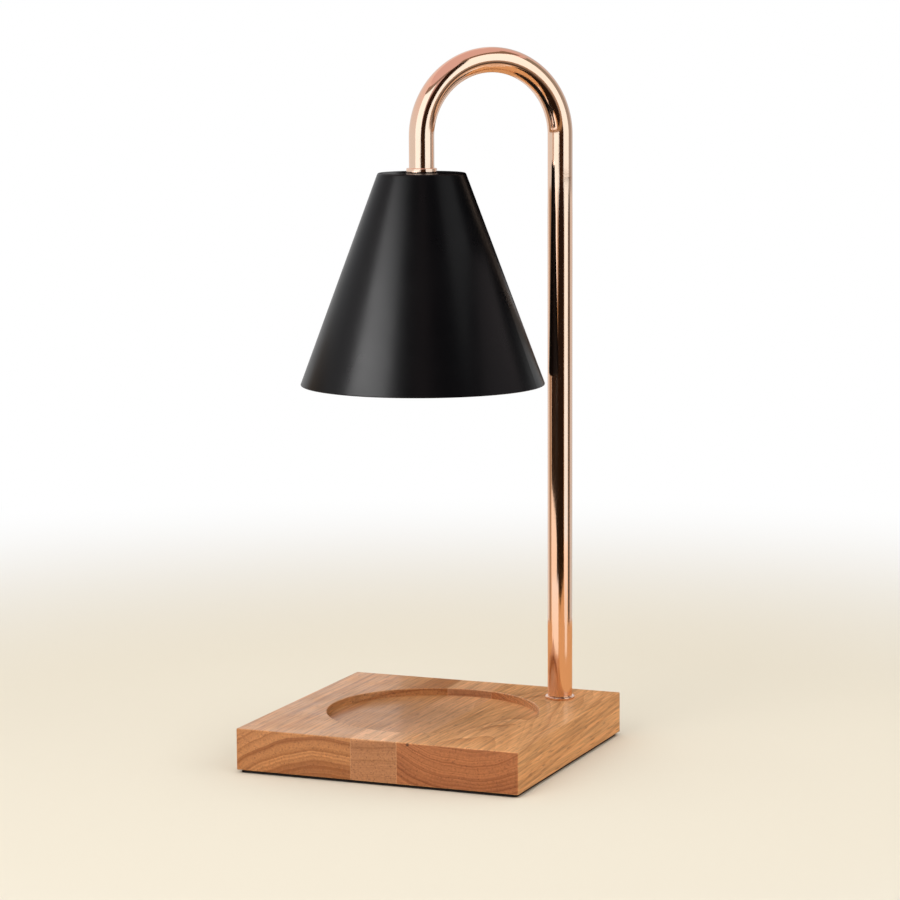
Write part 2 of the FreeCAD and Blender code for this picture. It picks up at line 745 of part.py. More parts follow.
def make_holder_body():
    """Porcelain body with a cavity and a wire hole for each contact, drawn from its split up."""
    body = new_body("holder_body")
    pad(draw_circle(new_sketch(body, "plan"), "Sizes.holder_dia"), "Sizes.holder_height")
    round_edges(
        body, "Sizes.holder_edge_round", on_ring("Sizes.holder_dia", "Sizes.holder_height")
    )
    cut_fastener_holes(body, "dia", "Sizes.holder_height")
    wires = new_sketch(body, "wire_holes")
    for side in ("", "-"):
        draw_circle(wires, "Sizes.wire_hole_dia", f"{side}Sizes.pin_radius", "0")
    pocket(wires, "Sizes.holder_height", upward=True)
    cavity = new_sketch(body, "cavity")
    margin = "Sizes.cavity_margin"
    draw_sector(
        cavity, "Sizes.cavity_inner", "Sizes.cavity_outer", f"-({margin} + Sizes.bulb_twist)", margin
    )
    polar_pattern(body, [pocket(cavity, "Sizes.cavity_depth", upward=True)], 2)
    return at_shade(body, "Places.holder_split_z", HOLDER_ANGLE)


def make_holder_face():
    """Porcelain face with a keyhole for each pin: a round hole and a narrower curved slot."""
    body = new_body("holder_face")
    pad(draw_circle(new_sketch(body, "plan"), "Sizes.holder_dia"), "Sizes.holder_face_thick")
    round_edges(body, "Sizes.holder_edge_round", on_ring("Sizes.holder_dia", "0"))
    cut_fastener_holes(body, "dia", "Sizes.holder_face_thick")
    cut_fastener_holes(body, "head_dia", "Sizes.holder_{}_head_thick")
    radius, twist, width = "Sizes.pin_radius", "Sizes.bulb_twist", "Places.keyway_width"
    entry = new_sketch(body, "entry")
    draw_circle(entry, "Places.keyhole_dia", f"{radius}*cos({twist})", f"-{radius}*sin({twist})")
    lock = draw_circle(new_sketch(body, "lock"), width, radius, "0")
    slot = new_sketch(body, "slot")
    draw_sector(slot, f"{radius} - {width}/2", f"{radius} + {width}/2", f"-{twist}", "0")
    cuts = [pocket(s, "Sizes.holder_face_thick", upward=True) for s in (entry, lock, slot)]
    polar_pattern(body, cuts, 2)
    return at_shade(body, "Places.holder_face_z", HOLDER_ANGLE)


def make_holder_screw(side):
    """Pan-head screw through face and body into a foot of the bracket, drawn head down."""
    shank, head = "Sizes.holder_screw_dia/2", "Sizes.holder_screw_head_dia/2"
    lip = "Sizes.holder_screw_head_thick"
    top = "Sizes.holder_face_thick + Sizes.holder_height + Sizes.bracket_thick"
    top += " + Sizes.holder_screw_proud"
    body = turned_body(
        f"holder_screw_{side}",
        [("0", "0"), (head, "0"), (head, lip), (shank, lip), (shank, top), ("0", top)],
    )
    slot = new_sketch(body, "slot")
    draw_rectangle(slot, f"-{head}", head, f"-{lip}/4", f"{lip}/4")
    pocket(slot, f"{lip}/2", upward=True)
    return holder_fastener(body, side, "90", "Sizes.holder_screw_radius", "Places.holder_face_z")


def make_holder_rivet(side):
    """Rivet that holds the porcelain face to the body."""
    shank, head = "Sizes.holder_rivet_dia/2", "Sizes.holder_rivet_head_dia/2"
    lip = "Sizes.holder_rivet_head_thick"
    length = "Sizes.holder_face_thick + Sizes.holder_height"
    top = f"{length} + {lip}"
    body = turned_body(
        f"holder_rivet_{side}",
        [
            ("0", "0"),
            (head, "0"),
            (head, lip),
            (shank, lip),
            (shank, length),
            (head, length),
            (head, top),
            ("0", top),
        ],
    )
    angle = "Sizes.holder_rivet_angle"
    return holder_fastener(body, side, angle, "Sizes.holder_rivet_radius", "Places.holder_face_z")


def holder_fastener(body, side, angle, radius, z):
    """Places a fastener at an angle and radius about the holder's axis, on either side of it."""
    turned = f"({angle} + {HOLDER_ANGLE} + {0 if side > 0 else 180})"
    return place(
        body,
        f"Places.shade_xy + {radius}*cos({turned})",
        f"Places.shade_xy + {radius}*sin({turned})",
        z,
        turned,
    )


def make_contact(side):
    """Spring contact: a curved leaf beside the pin's head, a roof and a barrel for the lead."""
    inner, thick = "Places.contact_inner", "Sizes.contact_thick"
    barrel_dia = "Sizes.wire_hole_dia - 2*Sizes.slip_gap"
    body = new_body(f"contact_{side}")
    leaf = new_sketch(body, "leaf")
    half_angle, half_roof = "Sizes.contact_half_angle", "Sizes.contact_roof_width/2"
    draw_sector(leaf, inner, f"{inner} + {thick}", f"-{half_angle}", half_angle)
    pad(leaf, "Sizes.contact_height")
    roof = new_sketch(body, "roof", height=f"Sizes.contact_height - {thick}")
    draw_rectangle(
        roof, f"Sizes.pin_radius - {half_roof}", f"{inner} + {thick}/2", f"-{half_roof}", half_roof
    )
    pad(roof, thick)
    barrel = new_sketch(body, "barrel", height="Sizes.contact_height")
    pad(draw_circle(barrel, barrel_dia, "Sizes.pin_radius", "0"), "Sizes.contact_barrel_length")
    turn = HOLDER_ANGLE + (0 if side == "live" else 180)
    return at_shade(body, "Places.holder_split_z + Sizes.slip_gap", turn)


# --- Bulb ---------------------------------------------------------------------------------------
def make_bulb_base():
    """Ceramic twist-lock base, drawn down from its face at z = 0."""
    outer, foot = "Sizes.bulb_base_dia/2", "Sizes.bulb_base_foot_dia/2"
    socket = "Sizes.bulb_neck_dia/2 + Sizes.slip_gap"
    length, web, edge = "Sizes.bulb_base_length", "Sizes.bulb_base_web", "Sizes.bulb_base_edge"
    body = turned_body(
        "bulb_base",
        [
            ("0", f"-{web}"),
            (socket, f"-{web}"),
            (socket, f"-{length}"),
            (foot, f"-{length}"),
            (outer, "-Sizes.bulb_base_shoulder"),
            (outer, f"-{edge}"),
            (f"{outer} - {edge}", "0"),
            ("0", "0"),
        ],
    )
    roots = new_sketch(body, "pin_roots")
    for side in ("", "-"):
        dia = "Sizes.pin_neck_dia + 2*Sizes.thread_gap"
        draw_circle(roots, dia, f"{side}Sizes.pin_radius", "0")
    pocket(roots, "Sizes.pin_root")
    return at_shade(body, "Places.bulb_top_z", HOLDER_ANGLE)


def make_bulb_pin(side):
    """Stepped contact pin with a wide head, drawn from its root up."""
    neck, head = "Sizes.pin_neck_dia/2", "Sizes.pin_head_dia/2"
    step = "Sizes.pin_root + Places.pin_neck_length"
    top = f"{step} + Sizes.pin_head_thick"
    body = turned_body(
        f"bulb_pin_{side}",
        [("0", "0"), (neck, "0"), (neck, step), (head, step), (head, top), ("0", top)],
    )
    round_edges(body, "Sizes.pin_round", on_ring("Sizes.pin_head_dia", top))
    z = "Places.bulb_top_z - Sizes.pin_root"
    return holder_fastener(body, side, "0", "Sizes.pin_radius", z)


def make_bulb_reflector():
    """Pressed glass reflector with a neck and a rim, drawn down from the face of the base."""
    glass, curve = "Sizes.bulb_glass", "Sizes.bulb_bowl_curve"
    neck, rim = "Sizes.bulb_neck_dia/2", "Sizes.bulb_dia/2"
    neck_top = "(Sizes.bulb_base_web + Sizes.slip_gap)"
    bowl_top = "(Sizes.bulb_base_length + Sizes.slip_gap)"
    rim_top = "(Sizes.bulb_length - Sizes.bulb_rim_height)"
    lens_seat = "(Sizes.bulb_length - Sizes.bulb_lens_thick - Sizes.slip_gap)"
    ledge = f"{rim} - {glass}"
    body = turned_body(
        "bulb_reflector",
        [
            (f"{neck} - {glass}", f"-{bowl_top}"),
            (f"{neck} - {glass}", f"-{neck_top}"),
            (neck, f"-{neck_top}"),
            (neck, f"-{bowl_top}", f"-{curve}"),
            (rim, f"-{rim_top}"),
            (rim, "-Sizes.bulb_length"),
            (ledge, "-Sizes.bulb_length"),
            (ledge, f"-{lens_seat}"),
            (f"{ledge} - {glass}", f"-{lens_seat}"),
            (f"{ledge} - {glass}", f"-{rim_top}", curve),
        ],
    )
    return at_shade(body, "Places.bulb_top_z")


def make_bulb_lens():
    """Front cover glass in the reflector's rim."""
    radius = "Sizes.bulb_dia/2 - Sizes.bulb_glass - Sizes.slip_gap"
    thick = "Sizes.bulb_lens_thick"
    body = turned_body("bulb_lens", [("0", "0"), (radius, "0"), (radius, thick), ("0", thick)])
    return at_shade(body, "Places.bulb_lens_z")


def make_capsule():
    """Quartz capsule: a pinched top held in the ceramic, and a hollow domed envelope."""
    radius, glass = "Sizes.capsule_dia/2", "Sizes.capsule_glass"
    pinch_top = "(Sizes.bulb_base_web + Sizes.slip_gap)"
    shoulder = "(Sizes.bulb_base_length + Sizes.capsule_drop)"
    body = turned_body(
        "bulb_capsule",
        [
            ("0", f"-{shoulder}"),
            ("0", f"-{shoulder} - {glass}"),
            (f"{radius} - {glass}", f"-{shoulder} - {glass}"),
            (f"{radius} - {glass}", f"-{shoulder} - Sizes.capsule_length", f"-({radius} - {glass})"),
            ("0", f"-{shoulder} - Sizes.capsule_length - {radius} + {glass}"),
            ("0", f"-{shoulder} - Sizes.capsule_length - {radius}", radius),
            (radius, f"-{shoulder} - Sizes.capsule_length"),
            (radius, f"-{shoulder}"),
        ],
    )
    pinch = new_sketch(body, "pinch", height=f"-{shoulder}")
    half_width, half_thick = "Sizes.pinch_width/2", "Sizes.pinch_thick/2"
    draw_rectangle(pinch, f"-{half_width}", half_width, f"-{half_thick}", half_thick)
    pad(pinch, f"{shoulder} - {pinch_top}")
    return at_shade(body, "Places.bulb_top_z", HOLDER_ANGLE)


def make_filament():
    """Coil envelope on two legs that hang from the pinch."""
    half = "Sizes.filament_length/2"
    leg = "Sizes.filament_leg_dia"
    pinch_foot = "(Sizes.bulb_base_length + Sizes.capsule_drop + Sizes.capsule_glass)"
    drop = "Sizes.filament_drop"
    body = new_body("bulb_filament")
    coil = new_sketch(body, "coil", "YZ_Plane")
    draw_circle(coil, "Sizes.filament_dia", "0", f"-{pinch_foot} - {drop}")
    pad(coil, "Sizes.filament_length", both_ways=True)
    legs = new_sketch(body, "legs", height=f"-{pinch_foot} - {drop}")
    for side in ("", "-"):
        draw_circle(legs, leg, f"{side}({half} - {leg})", "0")
    pad(legs, f"{drop} - Sizes.thread_gap")
    return at_shade(body, "Places.bulb_top_z", HOLDER_ANGLE)


# --- Leads --------------------------------------------------------------------------------------
def rounded_path(points, radii):
    """Straight runs joined by tangent arcs, one radius for each inner point."""
    edges = []
    here = points[0]
    for before, corner, after, radius in zip(points, points[1:], points[2:], radii):
        into, out = (corner - before).normalize(), (after - corner).normalize()
        turn = into.getAngle(out)
        setback = radius * math.tan(turn / 2)
        start, end = corner - into * setback, corner + out * setback
        middle = corner + (out - into).normalize() * radius * (1 / math.cos(turn / 2) - 1)
        if (start - here).Length > 1e-6:
            edges.append(Part.LineSegment(here, start).toShape())
        edges.append(Part.Arc(start, middle, end).toShape())
        here = end
    edges.append(Part.LineSegment(here, points[-1]).toShape())
    return Part.Wire(edges)


def make_lead(side):
    """One insulated lead, from its contact through the tube to its splice cap."""
    sign, up = SIDES[side], Vector(0, 0, 1)
    across = Vector(-1, 1, 0).normalize() * sign
    shade_axis = Vector(places.shade_xy, places.shade_xy, 0)
    pole_axis = Vector(places.pole_xy, places.pole_xy, 0)
    close = across * sizes.lead_spread
    barrel_top = places.contact_top_z
    crest, low = places.spring_z + sizes.bend_radius, places.splice_z
    foot = pole_axis + Vector(0, sign * sizes.lead_spread, low)
    mouth = pole_axis + Vector(-sizes.splice_mouth, sign * sizes.splice_spread, low)
    points = [
        shade_axis + across * sizes.pin_radius + up * barrel_top,
        shade_axis + across * sizes.pin_radius + up * (places.holder_back_z + sizes.lead_dia),
        shade_axis + close + up * (places.upper_nipple_z - sizes.bush_flange),
        shade_axis + close + up * crest,
        pole_axis + close + up * crest,
        foot,
        foot + Vector(-sizes.lead_foot_run, 0, 0),
        mouth + Vector(sizes.lead_dia, 0, 0),
        mouth + Vector(-sizes.lead_hold, 0, 0),
    ]
    bend, easy, tight = sizes.bend_radius, sizes.lead_easy_bend, sizes.lead_tight_bend
    path = rounded_path(points, [easy, easy, bend, bend, tight, easy, easy])
    section = Part.Wire([Part.Circle(points[0], up, sizes.lead_dia / 2).toShape()])
    lead = doc.addObject("Part::Feature", f"lead_{side}")
    lead.Label = f"lead_{side}"
    lead.Shape = path.makePipeShell([section], True, False)
    ideal = math.pi * (sizes.lead_dia / 2) ** 2 * path.Length
    if abs(lead.Shape.Volume / ideal - 1) > VOLUME_SLACK:
        raise RuntimeError(f"{lead.Label} is {lead.Shape.Volume:.1f} mm3 and not {ideal:.1f} mm3")
    return lead


# --- The lamp -----------------------------------------------------------------------------------
def make_lamp():
    """Every sub-part of the lamp, in the order in which it is put together."""
    parts = [
        make_pad(),
        make_stave("base_stave_left", "-Places.half_side", "Places.middle_stave_x", (-1,)),
        make_stave("base_stave_middle", "Places.middle_stave_x", "Places.right_stave_x", ()),
        make_right_stave(),
        make_gland(),
        make_tube(),
        at_pole(
            make_collar("base_collar", "Sizes.base_collar_lip", "Sizes.base_collar_thick"),
            "Places.base_top_z",
        ),
        at_shade(
            make_collar("shade_collar", "Sizes.shade_collar_lip", "Sizes.shade_collar_thick"),
            "Places.shade_top_z",
        ),
        at_pole(make_nipple("lower_nipple", "Places.lower_nipple_length"), "Places.lower_nipple_z"),
        at_shade(make_nipple("upper_nipple", "Places.upper_nipple_length"), "Places.upper_nipple_z"),
        at_pole(
            ring_body("fender_washer", "Places.nipple_hole", "Sizes.fender_dia", "Sizes.fender_thick"),
            "Places.lower_seat_z - Sizes.fender_thick",
        ),
        at_pole(make_lock_washer("lower_lock_washer"), "Places.lower_nut_z + Sizes.nut_thick"),
        at_shade(make_lock_washer("upper_lock_washer"), "Places.upper_nut_z + Sizes.nut_thick"),
        at_pole(make_nut("lower_nut"), "Places.lower_nut_z"),
        at_shade(make_nut("upper_nut"), "Places.upper_nut_z"),
        at_pole(make_bush("lower_bush"), "Places.lower_nipple_z - Sizes.bush_flange"),
        at_shade(make_bush("upper_bush"), "Places.upper_nipple_z - Sizes.bush_flange"),
        group("splice_caps", [make_splice_cap(side) for side in SIDES]),
        make_shade(),
        make_bracket(),
        make_holder_body(),
        make_holder_face(),
        group("holder_screws", [make_holder_screw(side) for side in (1, -1)]),
        group("holder_rivets", [make_holder_rivet(side) for side in (1, -1)]),
        group("holder_contacts", [make_contact(side) for side in SIDES]),
        make_bulb_base(),
        group("bulb_pins", [make_bulb_pin(side) for side in (1, -1)]),
        make_bulb_reflector(),
        make_bulb_lens(),
        make_capsule(),
        make_filament(),
    ]
    doc.recompute()
    return parts + [make_lead(side) for side in SIDES]


def check_and_export(parts):
    """Stops on any failed object or bad shape, then writes one STEP file for each sub-part."""
    doc.recompute()
    for obj in doc.Objects:
        if {"Invalid", "Error"} & set(obj.State):
            raise RuntimeError(f"{obj.Label} failed: {obj.State}")
    for part in parts:
        if part.Shape.isNull() or not part.Shape.isValid() or not part.Shape.Solids:
            raise RuntimeError(f"{part.Label} has a bad shape")
    os.makedirs("parts", exist_ok=True)
    for part in parts:
        part.Shape.exportStep(f"parts/{part.Label}.step")
        print(f"{part.Label}: {len(part.Shape.Solids)} solid(s), {part.Shape.Volume:.1f} mm3")


check_and_export(make_lamp())
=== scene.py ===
"""A candle warmer lamp: a glued beech base, a bent rose gold tube and a black cone shade over a jar's seat.

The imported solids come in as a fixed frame. Each sub-assembly below is a class that holds its sizes,
builds its own fine pieces, and dresses those pieces and its solids. Every finish is a small class too.
"""

import logging
import math
from dataclasses import dataclass, field
from enum import Enum
from typing import Any, Sequence

import bmesh
import bpy
from mathutils import Matrix, Vector


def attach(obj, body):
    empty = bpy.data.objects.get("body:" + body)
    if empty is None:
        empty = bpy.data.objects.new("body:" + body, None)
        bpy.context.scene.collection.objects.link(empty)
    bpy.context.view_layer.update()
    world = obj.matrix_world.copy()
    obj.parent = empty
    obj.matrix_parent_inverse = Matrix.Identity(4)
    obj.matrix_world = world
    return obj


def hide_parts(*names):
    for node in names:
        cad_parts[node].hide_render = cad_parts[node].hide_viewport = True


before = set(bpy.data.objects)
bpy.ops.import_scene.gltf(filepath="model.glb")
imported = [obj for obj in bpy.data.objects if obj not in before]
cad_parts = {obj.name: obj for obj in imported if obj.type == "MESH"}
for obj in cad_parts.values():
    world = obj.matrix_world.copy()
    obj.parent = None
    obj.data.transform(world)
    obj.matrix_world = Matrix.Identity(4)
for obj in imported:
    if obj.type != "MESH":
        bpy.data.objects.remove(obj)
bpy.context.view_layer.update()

MM = 0.001
log = logging.getLogger("candle_warmer_lamp")
made_materials: dict[str, bpy.types.Material] = {}
Source = bpy.types.Node | bpy.types.NodeSocket      # what a node's input can be linked from


def linear(hex_colour: str) -> tuple[float, float, float, float]:
    """Turn an sRGB hex colour into the linear one that shaders take.

    Args:
        hex_colour: the colour as "#rrggbb".

    Returns:
        Linear red, green and blue, and full opacity.
    """
    channels = [int(hex_colour[i : i + 2], 16) / 255 for i in (1, 3, 5)]
    red, green, blue = (c / 12.92 if c <= 0.04045 else ((c + 0.055) / 1.055) ** 2.4 for c in channels)
    return red, green, blue, 1.0


def per_metre(size_mm: float) -> float:
    """The texture scale at which one feature of a pattern is size_mm wide."""
    return 1 / (size_mm * MM)


def add_node(
    tree: bpy.types.NodeTree,
    kind: str,
    sockets: dict[str | int, Any] | None = None,
    stops: Sequence[tuple[float, str | float]] = (),
    **settings: Any,
) -> bpy.types.Node:
    """Add one node with its settings, its values and its links.

    Args:
        tree: the node tree that gets the node.
        kind: the node's type without its "ShaderNode", such as "TexNoise".
        sockets: for an input's name or number, a value, or a node or output socket to link from.
        stops: the places of a colour ramp, each with an sRGB colour or a linear grey.
        settings: the node's own attributes.

    Returns:
        The new node.
    """
    node = tree.nodes.new("ShaderNode" + kind)
    for name, value in settings.items():
        setattr(node, name, value)
    for spot, (place, colour) in enumerate(stops):
        elements = node.color_ramp.elements
        element = elements[spot] if spot < 2 else elements.new(place)
        element.position = place
        element.color = (colour, colour, colour, 1.0) if isinstance(colour, float) else linear(colour)
    for name, value in (sockets or {}).items():
        if isinstance(value, bpy.types.Node):
            value = next(socket for socket in value.outputs if socket.enabled)
        if isinstance(value, bpy.types.NodeSocket):
            tree.links.new(value, node.inputs[name])
        else:
            node.inputs[name].default_value = value
    return node


def blank_material(name: str) -> bpy.types.Material:
    """Make a material whose node tree is still empty.

    Args:
        name: the material's name.

    Returns:
        The new material.
    """
    made = bpy.data.materials.new(name)
    made.use_nodes = True
    made.node_tree.nodes.clear()
    return made


def to_mesh(bm: bmesh.types.BMesh, name: str) -> bpy.types.Mesh:
    """Turn finished working geometry into a mesh, and let go of it.

    Args:
        bm: the working geometry.
        name: the mesh's name.

    Returns:
        The new mesh.
    """
    mesh = bpy.data.meshes.new(name)
    bm.to_mesh(mesh)
    bm.free()
    return mesh


def add_object(name: str, data: bpy.types.ID) -> bpy.types.Object:
    """Put a new object into the scene.

    Args:
        name: the object's name.
        data: its mesh, curve, lamp or camera.

    Returns:
        The new object.
    """
    made = bpy.data.objects.new(name, data)
    bpy.context.scene.collection.objects.link(made)
    return made


# --- Finishes -----------------------------------------------------------------------------------
@dataclass(frozen=True)
class Finish:
    """What a real material looks like. Lengths are in millimetres."""

    name: str

    def material(self) -> bpy.types.Material:
        """Make the Blender material on first use, and find it again later.

        Returns:
            The material, with a Principled shader.
        """
        if self.name not in made_materials:
            made = made_materials[self.name] = blank_material(self.name)
            tree = made.node_tree
            place = add_node(tree, "TexCoord").outputs["Object"]
            shader = add_node(tree, "BsdfPrincipled", self.surface(tree, place))
            add_node(tree, "OutputMaterial", {"Surface": shader})
        return made_materials[self.name]

    def surface(self, tree: bpy.types.NodeTree, place: bpy.types.NodeSocket) -> dict[str, Any]:
        """Build the finish's own nodes.

        Args:
            tree: the material's node tree.
            place: the point on the object, in metres.

        Returns:
            What the shader's inputs get.
        """
        raise NotImplementedError

    @staticmethod
    def drift(
        tree: bpy.types.NodeTree, place: Source, size: float, low: float, high: float, detail: float = 2.0
    ) -> bpy.types.NodeSocket:
        """A value that wanders over the surface, as sheen does on anything made and handled.

        Args:
            tree: the material's node tree.
            place: the texture coordinate.
            size: the width of one patch, in mm.
            low: the value in the lowest patches.
            high: the value in the highest patches.
            detail: how much finer structure the patches have.

        Returns:
            The socket with the value.
        """
        cloud = add_node(tree, "TexNoise", {"Vector": place, "Scale": per_metre(size), "Detail": detail})
        span = {"Value": cloud, "From Min": 0.3, "From Max": 0.7, "To Min": low, "To Max": high}
        return add_node(tree, "MapRange", span).outputs["Result"]


@dataclass(frozen=True)
class LacqueredBeech(Finish):
    """Steamed beech stave, planed, sanded and given a thin clear lacquer.

    Steaming turns beech a warm reddish brown. Year rings run round the heart of the tree, so the end
    grain shows arcs and the other faces long streaks. Its short dark pores and fine fibres stay
    visible under the lacquer, which gives a soft sheen. The sanded arris is drawn paler, partly as wear and
    partly as a painted highlight.
    """

    heart: tuple[float, float] = (0.0, 0.0)     # x and z of the heart of the tree, at the front end
    lean: tuple[float, float] = (0.0, 0.0)      # slope of the heart upwards and sideways, in degrees
    rings: tuple[tuple[float, float], ...] = ((0.0, 0.4), (1.0, 0.4))  # radius, and darkness from 0 to 1
    ripple: float = 2.3                         # the faint rings between the marked ones
    ripple_depth: float = 0.3
    sway: float = 1.2                           # how far the rings wander
    sway_length: float = 24.0                   # how far apart they do, across the grain
    grain_stretch: float = 7.0                  # how much further apart, along it
    front: float = -75.0                        # y of the front end
    fibre_width: float = 1.2
    fibre_squeeze: float = 0.03                 # scale of the fibres' pattern along the grain
    pore_width: float = 0.8
    pore_squeeze: float = 0.09                  # likewise
    arris: float = 0.7                          # radius of the sanded edges
    pale: str = "#e8aa69"
    dark: str = "#8f5121"                       # the rings on end grain
    streak: str = "#bf7c48"                     # the same rings, cut lengthwise
    soaked: str = "#ead2c2"                     # what lacquer that has soaked in does to end grain
    pore: str = "#70402a"
    knot: str = "#3a2115"
    fleck: tuple[float, float, float] | None = None     # the place of a pin knot
    fleck_radius: float = 1.1

    def surface(self, tree: bpy.types.NodeTree, place: bpy.types.NodeSocket) -> dict[str, Any]:
        """Lay rings, fibres and pores under lacquer.

        Args:
            tree: the material's node tree.
            place: the point on the object, in metres.

        Returns:
            What the shader's inputs get.
        """
        # Open end grain drinks more lacquer, so the ends are darker and redder, and their rings stronger.
        sharp = add_node(tree, "NewGeometry").outputs["Normal"]
        facing_y = add_node(tree, "SeparateXYZ", {0: sharp}).outputs["Y"]
        squarely = add_node(tree, "Math", {0: facing_y}, operation="ABSOLUTE")
        end = add_node(tree, "Math", {0: squarely, 1: 4.0}, operation="POWER")
        tones = {0: end, 6: linear(self.streak), 7: linear(self.dark)}
        ring = add_node(tree, "Mix", tones, data_type="RGBA")
        tones = {0: self.year_rings(tree, place), 6: linear(self.pale), 7: ring.outputs[2]}
        veined = add_node(tree, "Mix", tones, data_type="RGBA")
        # Beech fibres are 0.02 mm wide. Bundles of them are drawn 1.2 mm wide, so that they show.
        along = add_node(tree, "Mapping", {"Vector": place, "Scale": (1, self.fibre_squeeze, 1)})
        fibres = self.drift(tree, along, self.fibre_width, 0.68, 1.2, detail=4)
        sawn = add_node(tree, "Math", {0: end, 1: -0.5, 2: 1.0}, operation="MULTIPLY_ADD")
        layers = {0: sawn, 6: veined.outputs[2], 7: fibres}
        fibrous = add_node(tree, "Mix", layers, data_type="RGBA", blend_type="MULTIPLY")
        # Its pores are 0.1 mm wide. The few that are drawn are wider, for the same reason.
        short = add_node(tree, "Mapping", {"Vector": place, "Scale": (1, self.pore_squeeze, 1)})
        grit = {"Vector": short, "Scale": per_metre(self.pore_width), "Detail": 2}
        specks = add_node(tree, "TexNoise", grit)
        span = {"Value": specks, "From Min": 0.58, "From Max": 0.74, "To Max": 0.6}
        pores = add_node(tree, "MapRange", span)
        layers = {0: pores, 6: fibrous.outputs[2], 7: linear(self.pore)}
        pored = add_node(tree, "Mix", layers, data_type="RGBA")
        layers = {0: end, 6: pored.outputs[2], 7: linear(self.soaked)}
        stained = add_node(tree, "Mix", layers, data_type="RGBA", blend_type="MULTIPLY")
        colour = self.knotted(tree, place, stained.outputs[2])
        # The rounded arris is mixed towards the pale tone: partly sanding wear, partly a painted highlight.
        soft = add_node(tree, "Bevel", {"Radius": self.arris * MM}, samples=4)
        facing = add_node(tree, "VectorMath", {0: soft, 1: sharp}, operation="DOT_PRODUCT").outputs["Value"]
        span = {"Value": facing, "From Min": 0.98, "From Max": 0.88, "To Max": 0.45}
        edge = add_node(tree, "MapRange", span)
        sanded_and_highlit = add_node(tree, "Mix", {0: edge, 6: colour, 7: linear(self.pale)}, data_type="RGBA")
        dents = {"Height": pores, "Strength": 0.35, "Distance": 0.06 * MM}
        relief = add_node(tree, "Bump", dents, invert=True)
        return {
            "Base Color": sanded_and_highlit.outputs[2],
            "Roughness": self.drift(tree, place, 18, 0.36, 0.5),
            "IOR": 1.45,
            "Coat Weight": 0.2,
            "Coat Roughness": 0.14,
            "Normal": relief,
        }

    def year_rings(self, tree: bpy.types.NodeTree, place: bpy.types.NodeSocket) -> bpy.types.Node:
        """Draw the year rings round the heart of the tree.

        Args:
            tree: the material's node tree.
            place: the point on the object, in metres.

        Returns:
            The node whose value runs from 0 in pale wood to 1 in the darkest ring.
        """
        (x, z), (tip, turn) = self.heart, self.lean
        frame_of_tree = {
            "Vector": place,
            "Location": (x * MM, self.front * MM, z * MM),
            "Rotation": (math.radians(tip), 0, math.radians(turn)),
            "Scale": (1, self.grain_stretch, 1),
        }
        grain = add_node(tree, "Mapping", frame_of_tree, vector_type="TEXTURE")
        cloud = {"Vector": grain, "Scale": per_metre(self.sway_length), "Detail": 2.5}
        wander = add_node(tree, "TexNoise", cloud).outputs["Color"]
        shift = add_node(tree, "VectorMath", {0: wander, 1: (0.5, 0.5, 0.5)}, operation="SUBTRACT")
        # Noise seldom strays more than a quarter from its middle, so four times that is the full sway.
        reach = (4 * self.sway * MM,) * 3
        swayed = add_node(tree, "VectorMath", {0: shift, 1: reach, 2: grain}, operation="MULTIPLY_ADD")
        flat = add_node(tree, "VectorMath", {0: swayed, 1: (1, 0, 1)}, operation="MULTIPLY")
        radius = add_node(tree, "VectorMath", {0: flat}, operation="LENGTH").outputs["Value"]
        first, last = self.rings[0][0], self.rings[-1][0]
        share = add_node(tree, "MapRange", {"Value": radius, "From Min": first * MM, "From Max": last * MM})
        stops = [((r - first) / (last - first), tone) for r, tone in self.rings]
        marked = add_node(tree, "ValToRGB", {"Fac": share}, stops=stops)
        # Good years make wide rings, and bad ones narrow rings.
        years = add_node(tree, "Math", {0: radius, 1: per_metre(self.ripple)}, operation="MULTIPLY")
        weather = {"W": years, "Scale": 0.55, "Detail": 1.0}
        seasons = add_node(tree, "TexNoise", weather, noise_dimensions="1D")
        age = add_node(tree, "Math", {0: seasons, 1: 2.6, 2: years}, operation="MULTIPLY_ADD")
        part_of_year = add_node(tree, "Math", {0: age}, operation="FRACT")
        # The wood darkens slowly from spring to autumn, and the next spring starts pale.
        stops = [(0.0, 0.0), (1.0, 1.0), (0.15, 0.25), (0.7, 0.45)]
        season = add_node(tree, "ValToRGB", {"Fac": part_of_year}, stops=stops)
        calm = self.drift(tree, grain, 30, 0.3 * self.ripple_depth, 1.4 * self.ripple_depth)
        return add_node(tree, "Mix", {0: calm, 2: marked, 3: season})

    def knotted(
        self, tree: bpy.types.NodeTree, place: bpy.types.NodeSocket, colour: bpy.types.NodeSocket
    ) -> bpy.types.NodeSocket:
        """Add the pin knot, where the stave has one.

        Args:
            tree: the material's node tree.
            place: the point on the object, in metres.
            colour: the wood's colour without the knot.

        Returns:
            The colour with it.
        """
        if self.fleck is None:
            return colour
        centre = tuple(v * MM for v in self.fleck)
        apart = add_node(tree, "VectorMath", {0: place, 1: centre}, operation="DISTANCE").outputs["Value"]
        edge = self.fleck_radius * MM
        span = {"Value": apart, "From Min": edge, "From Max": edge / 2, "To Max": 0.8}
        spot = add_node(tree, "MapRange", span)
        tones = {0: spot, 6: colour, 7: linear(self.knot)}
        return add_node(tree, "Mix", tones, data_type="RGBA").outputs[2]


